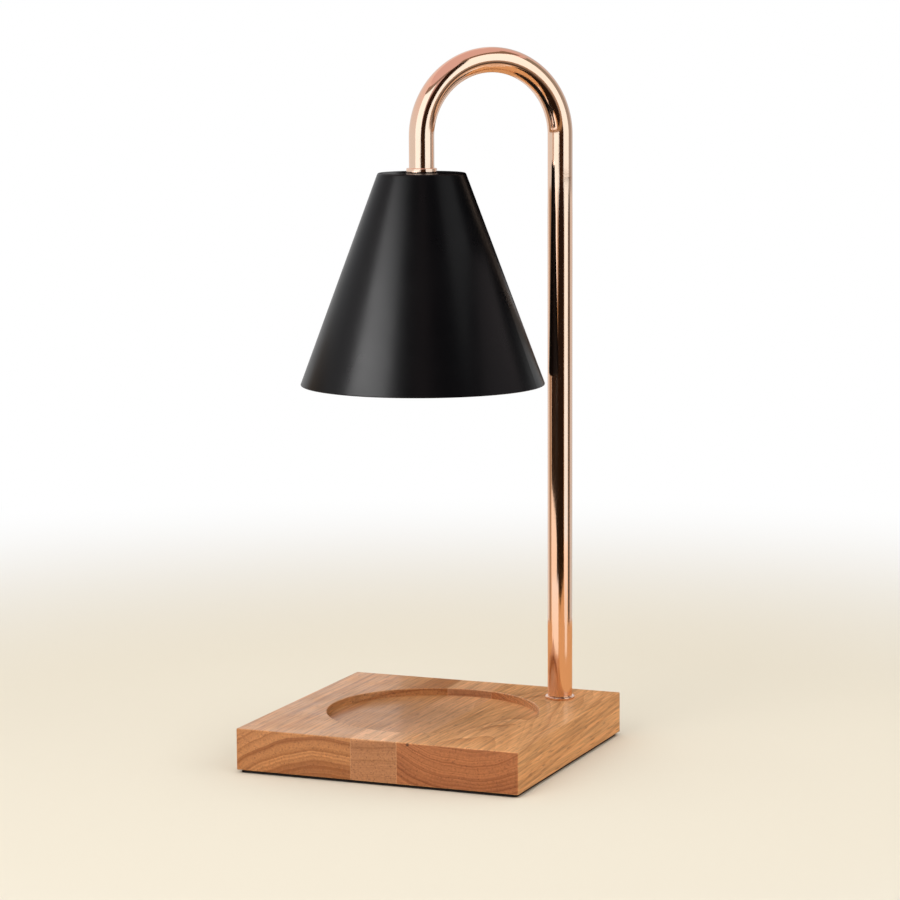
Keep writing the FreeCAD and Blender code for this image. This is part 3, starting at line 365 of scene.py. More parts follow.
@dataclass(frozen=True)
class RoseGoldPlate(Finish):
    """Copper and gold plating on polished steel.

    It is a bright mirror with a warm pink cast, slightly softened by handling.
    """

    light: str = "#f7d1b8"
    dark: str = "#f3c8ab"

    def surface(self, tree: bpy.types.NodeTree, place: bpy.types.NodeSocket) -> dict[str, Any]:
        """Make a metal mirror with the faint waves that drawing leaves in a tube.

        Args:
            tree: the material's node tree.
            place: the point on the object, in metres.

        Returns:
            What the shader's inputs get.
        """
        waves = add_node(tree, "TexNoise", {"Vector": place, "Scale": per_metre(14), "Detail": 1})
        relief = add_node(tree, "Bump", {"Height": waves, "Strength": 0.06, "Distance": 0.3 * MM})
        tint = self.drift(tree, place, 45, 0.0, 1.0)
        tones = {0: tint, 6: linear(self.light), 7: linear(self.dark)}
        colour = add_node(tree, "Mix", tones, data_type="RGBA")
        return {
            "Base Color": colour.outputs[2],
            "Metallic": 1.0,
            "Roughness": self.drift(tree, place, 20, 0.07, 0.1),
            "Normal": relief,
        }


@dataclass(frozen=True)
class BlackPowderCoat(Finish):
    """Matt black polyester powder, baked on spun steel.

    It is a deep neutral black with a broad soft sheen and a very fine orange peel.
    """

    dark: str = "#070709"
    light: str = "#0a090b"
    peel: float = 1.1       # width of a bump

    def surface(self, tree: bpy.types.NodeTree, place: bpy.types.NodeSocket) -> dict[str, Any]:
        """Make a baked skin with its orange peel.

        Args:
            tree: the material's node tree.
            place: the point on the object, in metres.

        Returns:
            What the shader's inputs get.
        """
        # Real orange peel is about 0.5 mm across. It is drawn at 1.1 mm, so that it shows.
        bumps = add_node(tree, "TexNoise", {"Vector": place, "Scale": per_metre(self.peel), "Detail": 2})
        relief = add_node(tree, "Bump", {"Height": bumps, "Strength": 0.12, "Distance": 0.05 * MM})
        depth = self.drift(tree, place, 35, 0.0, 1.0)
        tones = {0: depth, 6: linear(self.dark), 7: linear(self.light)}
        colour = add_node(tree, "Mix", tones, data_type="RGBA")
        return {
            "Base Color": colour.outputs[2],
            "Roughness": self.drift(tree, place, 25, 0.27, 0.33),
            "IOR": 1.5,
            "Specular IOR Level": 0.15,
            "Normal": relief,
        }


@dataclass(frozen=True)
class BlackFoam(Finish):
    """Die-cut closed-cell foam sheet, dull black with a fine open-cut skin."""

    dark: str = "#141313"
    light: str = "#211f1e"
    cell: float = 0.5       # width of a cell

    def surface(self, tree: bpy.types.NodeTree, place: bpy.types.NodeSocket) -> dict[str, Any]:
        """Cut the cells open.

        Args:
            tree: the material's node tree.
            place: the point on the object, in metres.

        Returns:
            What the shader's inputs get.
        """
        cells = add_node(tree, "TexVoronoi", {"Vector": place, "Scale": per_metre(self.cell)})
        relief = add_node(tree, "Bump", {"Height": cells, "Strength": 0.5, "Distance": 0.1 * MM})
        shade = self.drift(tree, place, 0.8, 0.0, 1.0)
        tones = {0: shade, 6: linear(self.dark), 7: linear(self.light)}
        colour = add_node(tree, "Mix", tones, data_type="RGBA")
        return {"Base Color": colour.outputs[2], "Roughness": 0.92, "IOR": 1.45, "Normal": relief}


@dataclass(frozen=True)
class Steatite(Finish):
    """Pressed and fired technical ceramic, off-white, with a thin glaze or none."""

    glazed: bool = True
    light: str = "#e6e0d2"
    dark: str = "#dcd5c6"
    speck: str = "#a89a86"

    def surface(self, tree: bpy.types.NodeTree, place: bpy.types.NodeSocket) -> dict[str, Any]:
        """Fire faint iron specks into the ceramic.

        Args:
            tree: the material's node tree.
            place: the point on the object, in metres.

        Returns:
            What the shader's inputs get.
        """
        grit = add_node(tree, "TexNoise", {"Vector": place, "Scale": per_metre(0.7), "Detail": 3})
        span = {"Value": grit, "From Min": 0.66, "From Max": 0.76, "To Max": 0.5}
        specks = add_node(tree, "MapRange", span)
        cloud = self.drift(tree, place, 12, 0.0, 1.0)
        tones = {0: cloud, 6: linear(self.light), 7: linear(self.dark)}
        body = add_node(tree, "Mix", tones, data_type="RGBA")
        tones = {0: specks, 6: body.outputs[2], 7: linear(self.speck)}
        colour = add_node(tree, "Mix", tones, data_type="RGBA")
        relief = add_node(tree, "Bump", {"Height": grit, "Strength": 0.15, "Distance": 0.08 * MM})
        low, high = (0.18, 0.28) if self.glazed else (0.55, 0.7)
        return {
            "Base Color": colour.outputs[2],
            "Roughness": self.drift(tree, place, 8, low, high),
            "IOR": 1.55,
            "Normal": relief,
        }


@dataclass(frozen=True)
class Metal(Finish):
    """A bare or plated metal fitting.

    Turning, rolling or plating leaves a fine grain that softens its gleam. A thread is drawn as ridges.
    """

    light: str = "#c9cdd2"
    dark: str = "#b3b6b8"
    sheen: tuple[float, float] = (0.22, 0.38)
    pitch: float | None = None      # of a thread round a vertical axis

    def surface(self, tree: bpy.types.NodeTree, place: bpy.types.NodeSocket) -> dict[str, Any]:
        """Give the metal a fine worked grain, or a thread.

        Args:
            tree: the material's node tree.
            place: the point on the object, in metres.

        Returns:
            What the shader's inputs get.
        """
        patch = self.drift(tree, place, 4, 0.0, 1.0)
        tones = {0: patch, 6: linear(self.light), 7: linear(self.dark)}
        colour = add_node(tree, "Mix", tones, data_type="RGBA")
        worked = add_node(tree, "Mapping", {"Vector": place, "Scale": (1, 1, 6)})
        height = add_node(tree, "TexNoise", {"Vector": worked, "Scale": per_metre(1.5), "Detail": 2})
        depth = 0.02
        if self.pitch is not None:
            # One turn of the wave texture is a twentieth of 2 pi over its scale.
            turns = 2 * math.pi / 20 * per_metre(self.pitch)
            height = add_node(tree, "TexWave", {"Vector": place, "Scale": turns}, bands_direction="Z")
            depth = 0.54 * self.pitch
        relief = add_node(tree, "Bump", {"Height": height, "Strength": 0.6, "Distance": depth * MM})
        return {
            "Base Color": colour.outputs[2],
            "Metallic": 1.0,
            "Roughness": self.drift(tree, place, 3, *self.sheen),
            "Normal": relief,
        }


@dataclass(frozen=True)
class Polymer(Finish):
    """Moulded or extruded polymer: nylon, rubber or silicone.

    The mould's fine texture, or the bloom on a sleeve, keeps it from looking wet.
    """

    light: str = "#e4dfd2"
    dark: str = "#d8d2c3"
    sheen: tuple[float, float] = (0.4, 0.55)
    texture: float = 0.6
    ior: float = 1.5

    def surface(self, tree: bpy.types.NodeTree, place: bpy.types.NodeSocket) -> dict[str, Any]:
        """Make a moulded skin.

        Args:
            tree: the material's node tree.
            place: the point on the object, in metres.

        Returns:
            What the shader's inputs get.
        """
        patch = self.drift(tree, place, 6, 0.0, 1.0)
        tones = {0: patch, 6: linear(self.light), 7: linear(self.dark)}
        colour = add_node(tree, "Mix", tones, data_type="RGBA")
        spark = add_node(tree, "TexNoise", {"Vector": place, "Scale": per_metre(self.texture), "Detail": 3})
        relief = add_node(tree, "Bump", {"Height": spark, "Strength": 0.25, "Distance": 0.05 * MM})
        return {
            "Base Color": colour.outputs[2],
            "Roughness": self.drift(tree, place, 5, *self.sheen),
            "IOR": self.ior,
            "Normal": relief,
        }


@dataclass(frozen=True)
class ClearGlass(Finish):
    """Pressed soda-lime or blown quartz glass, clear, with the slight waves of its making."""

    ior: float = 1.52
    wave: float = 5.0       # width of a wave
    colour: str = "#f4faf8"

    def surface(self, tree: bpy.types.NodeTree, place: bpy.types.NodeSocket) -> dict[str, Any]:
        """Let the waves of its making bend what is seen through it.

        Args:
            tree: the material's node tree.
            place: the point on the object, in metres.

        Returns:
            What the shader's inputs get.
        """
        waves = add_node(tree, "TexNoise", {"Vector": place, "Scale": per_metre(self.wave), "Detail": 1})
        relief = add_node(tree, "Bump", {"Height": waves, "Strength": 0.1, "Distance": 0.2 * MM})
        return {
            "Base Color": linear(self.colour),
            "Roughness": self.drift(tree, place, 9, 0.0, 0.04),
            "IOR": self.ior,
            "Transmission Weight": 1.0,
            "Normal": relief,
        }


ZINC = Metal("bright_zinc_on_steel")
BRASS = Metal("turned_brass", light="#d9bd77", dark="#c9a960", sheen=(0.2, 0.36))
THREADED_BRASS = Metal("threaded_brass", light="#d9bd77", dark="#c9a960", sheen=(0.2, 0.36), pitch=1.0)
TUNGSTEN = Metal("drawn_tungsten", light="#8d8a86", dark="#75726f", sheen=(0.4, 0.55))
ALUMINISED = Metal("aluminium_on_glass", light="#e4e6e8", dark="#dadde0", sheen=(0.08, 0.16))
NYLON = Polymer("natural_nylon")
BLACK_RUBBER = Polymer("moulded_black_rubber", light="#1c1b1a", dark="#242322", sheen=(0.6, 0.75))
BROWN_SLEEVE = Polymer("brown_silicone_sleeve", light="#6a3c25", dark="#5c331f", ior=1.42)
BLUE_SLEEVE = Polymer("blue_silicone_sleeve", light="#2b4d86", dark="#244273", ior=1.42)
GLAZED = Steatite("glazed_steatite")
UNGLAZED = Steatite("unglazed_steatite", glazed=False)
ROSE_GOLD = RoseGoldPlate("plated_rose_gold")
POWDER_COAT = BlackPowderCoat("black_powder_coat")
FOAM = BlackFoam("black_foam")
SODA_GLASS = ClearGlass("pressed_soda_glass")
QUARTZ = ClearGlass("blown_quartz", ior=1.46, wave=3.0)


# --- Sub-assemblies -----------------------------------------------------------------------------
TUBE_WALL = "gooseneck_tube_wall"
COLLARS = ("base_collar", "shade_collar")
CONE = "shade"


@dataclass
class SubAssembly:
    """Pieces that are made and finished together and ride on one body."""

    body: str = "lamp"
    finished: list[str] = field(default_factory=list)

    def build(self) -> None:
        """Make and dress every piece."""
        raise NotImplementedError

    def dress(self, finish: Finish, *nodes: str) -> None:
        """Give solids of the frame their finish.

        Args:
            finish: what they are made of.
            nodes: their names in the frame.
        """
        for node in nodes:
            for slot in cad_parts[node].material_slots:
                slot.material = finish.material()
            self.finished.append(node)

    def add_piece(self, data: bpy.types.ID, finish: Finish, slot: str, *stands_for: str) -> bpy.types.Object:
        """Hang a new piece on the sub-assembly's body.

        Args:
            data: its mesh or curve, which also has its name.
            finish: what it is made of.
            slot: the name of its material slot; not used.
            stands_for: the solids that it is shown in place of.

        Returns:
            The new object.
        """
        piece = add_object(data.name, data)
        data.materials.append(finish.material())
        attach(piece, self.body)
        if stands_for:
            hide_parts(*stands_for)
        self.finished.append(piece.name)
        return piece


@dataclass
class GluedBase(SubAssembly):
    """Three staves glued side by side, with a foam pad below and a rubber gland for the cord."""

    left: LacqueredBeech = LacqueredBeech(
        "beech_left",
        heart=(-26.5, -66.0),
        lean=(0.6, -1.2),
        pale="#d99e67",
        streak="#ae6c38",
        soaked="#fff0dc",
        rings=(
            (60.0, 0.75), (75.4, 0.85), (76.2, 0.3), (77.6, 0.5), (78.2, 0.0), (79.0, 0.5), (79.8, 0.0),
            (80.4, 0.75), (81.5, 0.4), (84.5, 0.35), (86.6, 0.95), (87.4, 0.9), (87.9, 0.2), (91.0, 0.36),
            (91.8, 0.8), (92.3, 0.2), (95.5, 0.4), (96.2, 0.8), (96.8, 0.2), (101.0, 0.4),
        ),
    )
    middle: LacqueredBeech = LacqueredBeech(
        "beech_middle",
        heart=(15.0, -400.0),
        lean=(0.3, 0.8),
        rings=(
            (400.0, 0.3), (411.8, 0.33), (412.6, 0.62), (413.4, 0.3), (417.5, 0.36), (419.0, 0.6),
            (421.0, 0.52), (422.2, 0.16), (424.0, 0.2),
        ),
        ripple_depth=0.34,
        pale="#f4ba86",
        soaked="#dccabb",
    )
    right: LacqueredBeech = LacqueredBeech(
        "beech_right",
        heart=(46.4, 70.4),
        lean=(4.0, 1.5),
        rings=(
            (46.0, 0.42), (49.5, 0.5), (51.5, 0.66), (52.4, 0.4), (56.2, 0.42), (57.1, 0.8), (57.8, 0.42),
            (62.4, 0.4), (63.8, 0.85), (64.6, 0.45), (65.8, 0.9), (66.4, 0.5), (67.6, 0.9), (68.2, 0.45),
            (69.8, 0.85), (70.6, 0.4), (72.2, 0.75), (73.0, 0.35), (76.0, 0.5),
        ),
        ripple_depth=0.45,
        pale="#fabb7e",
        streak="#bb7841",
        soaked="#dab8a2",
        fleck=(17.3, -75.0, 21.7),
    )

    def build(self) -> None:
        """Dress the staves, each cut from its own tree, the pad and the gland."""
        self.dress(self.left, "base_stave_left")
        self.dress(self.middle, "base_stave_middle")
        self.dress(self.right, "base_stave_right")
        self.dress(FOAM, "base_pad")
        self.dress(BLACK_RUBBER, "cord_gland")


@dataclass
class Gooseneck(SubAssembly):
    """The bent tube with the collar at each end.

    The tube is a mirror, so it is swept more finely than its solid.
    """

    pole: tuple[float, float] = (50.5, 50.5)
    heading: float = 225.0              # of the arm, in degrees from +X
    outer: float = 6.35                 # radii of the section
    bore: float = 5.05
    foot: float = 24.1                  # heights
    spring: float = 313.4
    end: float = 298.2
    bend_radius: float = 38.0
    around: int = 96                    # facets round the section
    over: int = 144                     # sections over the bend

    def build(self) -> None:
        """Sweep the tube, and plate it and its collars alike."""
        self.dress(ROSE_GOLD, *COLLARS)
        self.add_piece(self.tube(), ROSE_GOLD, "rose_gold_plate", "gooseneck_tube")

    def tube(self) -> bpy.types.Mesh:
        """The tube's wall, from the foot up the pole, round the bend and down the short leg.

        Returns:
            A closed mesh, smooth but for the rims of its two ends.
        """
        heading = math.radians(self.heading)
        ahead, up = Vector((math.cos(heading), math.sin(heading), 0)), Vector((0, 0, 1))
        side = ahead.cross(up)
        middle = Vector((*self.pole, self.spring)) + ahead * self.bend_radius
        stations = [(Vector((*self.pole, self.foot)), -ahead)]
        for i in range(self.over + 1):
            turn = math.pi * i / self.over
            outward = up * math.sin(turn) - ahead * math.cos(turn)
            stations.append((middle + outward * self.bend_radius, outward))
        stations.append((stations[-1][0] - up * (self.spring - self.end), ahead))
        bm = bmesh.new()
        walls = []
        for radius in (self.outer, self.bore):
            rings = []
            for point, outward in stations:
                angles = (2 * math.pi * k / self.around for k in range(self.around))
                spokes = (outward * math.cos(a) + side * math.sin(a) for a in angles)
                rings.append([bm.verts.new((point + spoke * radius) * MM) for spoke in spokes])
            self.join(bm, rings)
            walls.append(rings)
        for edge in (0, -1):
            self.join(bm, [walls[0][edge], walls[1][edge]])
        bmesh.ops.recalc_face_normals(bm, faces=bm.faces)
        for face in bm.faces:
            face.smooth = True
        rims = {vert for rings in walls for ring in (rings[0], rings[-1]) for vert in ring}
        for edge in bm.edges:
            edge.smooth = not all(vert in rims for vert in edge.verts)
        return to_mesh(bm, TUBE_WALL)

    def join(self, bm: bmesh.types.BMesh, rings: Sequence[Sequence[bmesh.types.BMVert]]) -> None:
        """Fill the strip between each ring of vertices and the next.

        Args:
            bm: the mesh that gets the faces.
            rings: closed rings with the same number of vertices.
        """
        for low, high in zip(rings, rings[1:]):
            for k in range(self.around):
                n = (k + 1) % self.around
                bm.faces.new((low[k], low[n], high[n], high[k]))


@dataclass
class ConeShade(SubAssembly):
    """The spun steel cone."""

    def build(self) -> None:
        """Coat the cone inside and out."""
        self.dress(POWDER_COAT, CONE)


@dataclass
class LampHolder(SubAssembly):
    """The twist-lock holder on its bracket, and the threaded pipes and nuts that clamp the lamp."""

    def build(self) -> None:
        """Dress the ceramics, the bracket and the fasteners."""
        self.dress(GLAZED, "holder_face", "holder_body")
        self.dress(
            ZINC, "holder_bracket", "holder_screws", "fender_washer", "lower_lock_washer", "upper_lock_washer"
        )
        self.dress(BRASS, "holder_rivets", "holder_contacts", "lower_nut", "upper_nut")
        self.dress(THREADED_BRASS, "lower_nipple", "upper_nipple")


@dataclass
class ReflectorBulb(SubAssembly):
    """The halogen bulb, which turns in the holder as one piece. Heights run down from the bulb's top."""

    body: str = "bulb"
    axis: tuple[float, float] = (-3.240, -3.240)
    top: float = 256.5
    mouth: tuple[float, float] = (22.6, 45.6)   # radius and depth of the bowl's inner edge
    throat: tuple[float, float] = (7.6, 17.2)   # radius and depth where the bowl meets the neck
    bowl_curve: float = 46.0
    liner: float = 0.15                         # the facets stand in from the glass by this much
    facet_rings: int = 11
    facets_round: int = 30
    coil_depth: float = 30.0
    coil_radius: float = 0.62
    coil_length: float = 4.6
    coil_turns: int = 14
    turn_steps: int = 12                        # points on each turn
    wire_radius: float = 0.11
    leg_top: float = 20.5
    pin_angle: float = 135.0

    def build(self) -> None:
        """Dress the glass and ceramic, and make the facets and the filament's coil."""
        self.dress(UNGLAZED, "bulb_base")
        self.dress(ZINC, "bulb_pins")
        self.dress(ALUMINISED, "bulb_reflector")
        self.dress(SODA_GLASS, "bulb_lens")
        self.dress(QUARTZ, "bulb_capsule")
        self.add_piece(self.facets(), ALUMINISED, "coated_glass")
        self.add_piece(self.filament(), TUNGSTEN, "tungsten", "bulb_filament")

    def facets(self) -> bpy.types.Mesh:
        """The flat mirror facets pressed into the bowl.

        Returns:
            A mesh of flat quads, ring by ring.
        """
        (r0, d0), (r1, d1) = self.throat, self.mouth
        start, end = Vector((r0, -d0)), Vector((r1, -d1))
        chord = end - start
        side = Vector((-chord.y, chord.x)).normalized()
        reach = math.sqrt(self.bowl_curve**2 - (chord.length / 2) ** 2)
        centre = (start + end) / 2 - side * reach
        first = math.atan2(start.y - centre.y, start.x - centre.x)
        last = math.atan2(end.y - centre.y, end.x - centre.x)
        bm = bmesh.new()
        rings = []
        for i in range(self.facet_rings + 1):
            angle = first + (last - first) * i / self.facet_rings
            radius = centre.x + (self.bowl_curve - self.liner) * math.cos(angle)
            depth = centre.y + (self.bowl_curve - self.liner) * math.sin(angle)
            rings.append(
                [
                    bm.verts.new(self.at(radius, 2 * math.pi * (k + i % 2 / 2) / self.facets_round, depth))
                    for k in range(self.facets_round)
                ]
            )
        for low, (upper, lower) in enumerate(zip(rings, rings[1:])):
            for k in range(self.facets_round):
                n = (k + 1) % self.facets_round
                if low % 2 == 0:
                    bm.faces.new((upper[k], lower[k], upper[n]))
                    bm.faces.new((upper[n], lower[k], lower[n]))
                else:
                    bm.faces.new((upper[k], lower[k], lower[n]))
                    bm.faces.new((upper[k], lower[n], upper[n]))
        return to_mesh(bm, "bulb_facets")

    def filament(self) -> bpy.types.Curve:
        """The coiled wire, with its two legs up into the pinch.

        Returns:
            A curve with a round section.
        """
        half = self.coil_length / 2
        steps = self.coil_turns * self.turn_steps
        points = [(-half, 0.0, -self.leg_top)]
        for i in range(steps + 1):
            turn = 2 * math.pi * self.coil_turns * i / steps
            across, lift = self.coil_radius * math.sin(turn), self.coil_radius * math.cos(turn)
            points.append((-half + self.coil_length * i / steps, across, lift - self.coil_depth))
        points.append((half, 0.0, -self.leg_top))
        curve = bpy.data.curves.new("bulb_filament_coil", "CURVE")
        curve.dimensions = "3D"
        curve.bevel_depth = self.wire_radius * MM
        curve.bevel_resolution = 2
        curve.use_fill_caps = True
        spline = curve.splines.new("POLY")
        spline.points.add(len(points) - 1)
        turned = Matrix.Rotation(math.radians(self.pin_angle), 3, "Z")
        for point, place in zip(spline.points, points):
            x, y, z = turned @ Vector(place)
            point.co = ((self.axis[0] + x) * MM, (self.axis[1] + y) * MM, (self.top + z) * MM, 1)
        return curve

    def at(self, radius: float, angle: float, height: float) -> Vector:
        """A point round the bulb's axis, in metres.

        Args:
            radius: its distance from the axis, in mm.
            angle: its direction round the axis, in radians.
            height: its height over the bulb's top, in mm.

        Returns:
            The point in the frame.
        """
        x = self.axis[0] + radius * math.cos(angle)
        y = self.axis[1] + radius * math.sin(angle)
        return Vector((x, y, self.top + height)) * MM


@dataclass
class Wiring(SubAssembly):
    """The two leads through the tube, their splices in the base, and the bushes that guard them."""

    def build(self) -> None:
        """Dress the leads, the splice caps and the bushes."""
        self.dress(BROWN_SLEEVE, "lead_live")
        self.dress(BLUE_SLEEVE, "lead_neutral")
        self.dress(NYLON, "splice_caps", "lower_bush", "upper_bush")


# --- Studio -------------------------------------------------------------------------------------
METAL = (TUBE_WALL, *COLLARS)
FAR = 1500.0            # radius of the far panels, in mm, give or take the gap where two overlap
FAR_FOOT = 190.0        # height of their lower edges, as a rule
NEAR_TOP = 267.0        # height of the near panels' upper edges, as a rule


class Role(Enum):
    """What a lamp of the studio is for."""

    KEY = "studio_key"
    FILL = "studio_fill"
    TOP = "studio_top"
    SHEEN = "studio_sheen"
    RIM = "studio_rim"


class Wash(Enum):
    """The tints of a panel at its lower edge and at its upper one."""

    WHITE = ("#ffffff", "#ffffff")
    SAND = ("#ffdfbe", "#ffdfbe")
    PEACH = ("#ffdcc0", "#ffdcc0")
    APRICOT = ("#ffdcbc", "#ffdcbc")
    COPPER = ("#ffb080", "#ffb080")
    PEARL = ("#fff0f0", "#fff0f0")
    SKY = ("#e4f6ff", "#e4f6ff")
    SKY_TO_FROST = ("#e4f6ff", "#f4faff")
    FROST_TO_WHITE = ("#f4faff", "#ffffff")
    FROST_TO_BLUSH = ("#f4faff", "#ffe8e4")
    HAZE_TO_ROSE = ("#f0faff", "#ffe0dc")
    SHELL_TO_ROSE = ("#ffe4cc", "#ffdcd0")
    CREAM_TO_IVORY = ("#ffeedd", "#fff4ea")
    CREAM_TO_WHITE = ("#ffeedd", "#ffffff")
    WHITE_TO_BUTTER = ("#ffffff", "#fffbe6")
    GOLD_TO_WHITE = ("#ffd0a0", "#ffffff")
    AMBER_TO_WHITE = ("#ffc080", "#ffffff")
    AMBER_TO_CORAL = ("#ffc080", "#ffc0a0")


@dataclass(frozen=True)
class Softbox:
    """A cloth-fronted lamp. Angles in degrees, lengths in metres.

    It lights everything, and nothing mirrors it. One that is made for a few objects does the reverse:
    they alone show it, as a sheen and not as light.
    """

    role: Role
    azimuth: float      # counted from the camera's side of the room
    elevation: float
    distance: float
    width: float
    height: float
    watts: float
    only: tuple[str, ...] = ()

    def build(self, aim: Vector, turn: float) -> None:
        """Hang it round the point that it lights.

        Args:
            aim: that point, in metres.
            turn: the direction that its azimuth is counted from.
        """
        data = bpy.data.lights.new(self.role.value, "AREA")
        data.shape, data.size, data.size_y, data.energy = "RECTANGLE", self.width, self.height, self.watts
        lamp = add_object(self.role.value, data)
        away = compass(turn + self.azimuth, self.elevation)
        if self.only:
            light_only(lamp, self.only)
            lamp.visible_diffuse = False
        else:
            lamp.visible_glossy = False     # the panels are what a mirror shows
        lamp.location = aim + away * self.distance
        lamp.rotation_euler = away.to_track_quat("Z", "Y").to_euler()


@dataclass(frozen=True)
class Panel:
    """A curved card or lit cloth round the pole, which only mirrors show.

    Angles are in degrees and lengths in mm. A black card, or flag, is a panel with hardly any glow. A
    shelf reaches outwards and dips on the way, so its lower edge is the inner and slightly higher one.
    """

    name: str
    arc: tuple[float, float]                        # from its starting edge to its other one
    heights: tuple[float, float]                    # of its lower edge and its upper one
    glow: tuple[float, float]                       # likewise
    wash: Wash = Wash.WHITE
    radius: float = 340.0
    slant: float = 0.0          # its starting edge leans by this much from top to bottom
    rise: float = 0.0           # the corners of its lower edge are higher than the middle
    tilt: float = 0.0           # its lower edge climbs by this much towards the starting edge
    reach: float = 0.0          # its upper edge stands this much further out
    only: tuple[str, ...] = ()  # what it glows for, while the rest mirrors a black card
    steps: int = 24             # facets along its arc

    def build(self, centre: Vector, turn: float) -> None:
        """Stand it round the pole.

        Args:
            centre: the foot of the pole's axis, in metres.
            turn: the direction that its angles are counted from.
        """
        (start, end), (bottom, top) = self.arc, self.heights
        bm = bmesh.new()
        pairs = []
        for i in range(self.steps + 1):
            share = i / self.steps
            raised = bottom + self.rise * abs(2 * share - 1) + self.tilt * (1 - share)
            pair = []
            for height, first, radius in (
                (raised, start + self.slant, self.radius),
                (top, start, self.radius + self.reach),
            ):
                out = compass(turn + first + (end - first) * share, 0) * radius
                pair.append(bm.verts.new(centre + (out + Vector((0, 0, height))) * MM))
            pairs.append(pair)
        for (a, b), (c, d) in zip(pairs, pairs[1:]):
            bm.faces.new((a, c, d, b))
        mesh = to_mesh(bm, self.name)
        mesh.materials.append(self.cloth())
        panel = add_object(self.name, mesh)
        panel.visible_camera = panel.visible_diffuse = False
        panel.visible_shadow = panel.visible_transmission = False
        if self.only:
            light_only(panel, self.only)

    def cloth(self) -> bpy.types.Material:
        """Make the panel glow, with an even change from its lower edge to its upper one.

        Returns:
            The material.
        """
        made = blank_material(self.name)
        tree = made.node_tree
        place = add_node(tree, "TexCoord").outputs["Object"]
        height = add_node(tree, "SeparateXYZ", {0: place}).outputs["Z"]
        low, high = self.heights
        share = add_node(tree, "MapRange", {"Value": height, "From Min": low * MM, "From Max": high * MM})
        level = add_node(tree, "Mix", {0: share, 2: self.glow[0], 3: self.glow[1]})
        tints = {0: share, 6: linear(self.wash.value[0]), 7: linear(self.wash.value[1])}
        colour = add_node(tree, "Mix", tints, data_type="RGBA")
        glow = add_node(tree, "Emission", {"Color": colour.outputs[2], "Strength": level})
        add_node(tree, "OutputMaterial", {"Surface": glow})
        return made


def light_only(source: bpy.types.Object, names: Sequence[str]) -> None:
    """Let a lamp or a glowing panel light a few objects and nothing else.

    Args:
        source: the lamp or the panel.
        names: the objects that it lights.
    """
    lit = bpy.data.collections.new(source.name + "_lit")
    for name in names:
        lit.objects.link(bpy.data.objects[name])
    source.light_linking.receiver_collection = lit


def compass(azimuth: float, elevation: float) -> Vector:
    """The direction from the lamp to something round it.

    Args:
        azimuth: 0 is towards -Y and 90 towards +X, in degrees.
        elevation: the height over the horizon, in degrees.

    Returns:
        A unit vector.
    """
    a, e = math.radians(azimuth), math.radians(elevation)
    return Vector((math.sin(a) * math.cos(e), -math.cos(a) * math.cos(e), math.sin(e)))


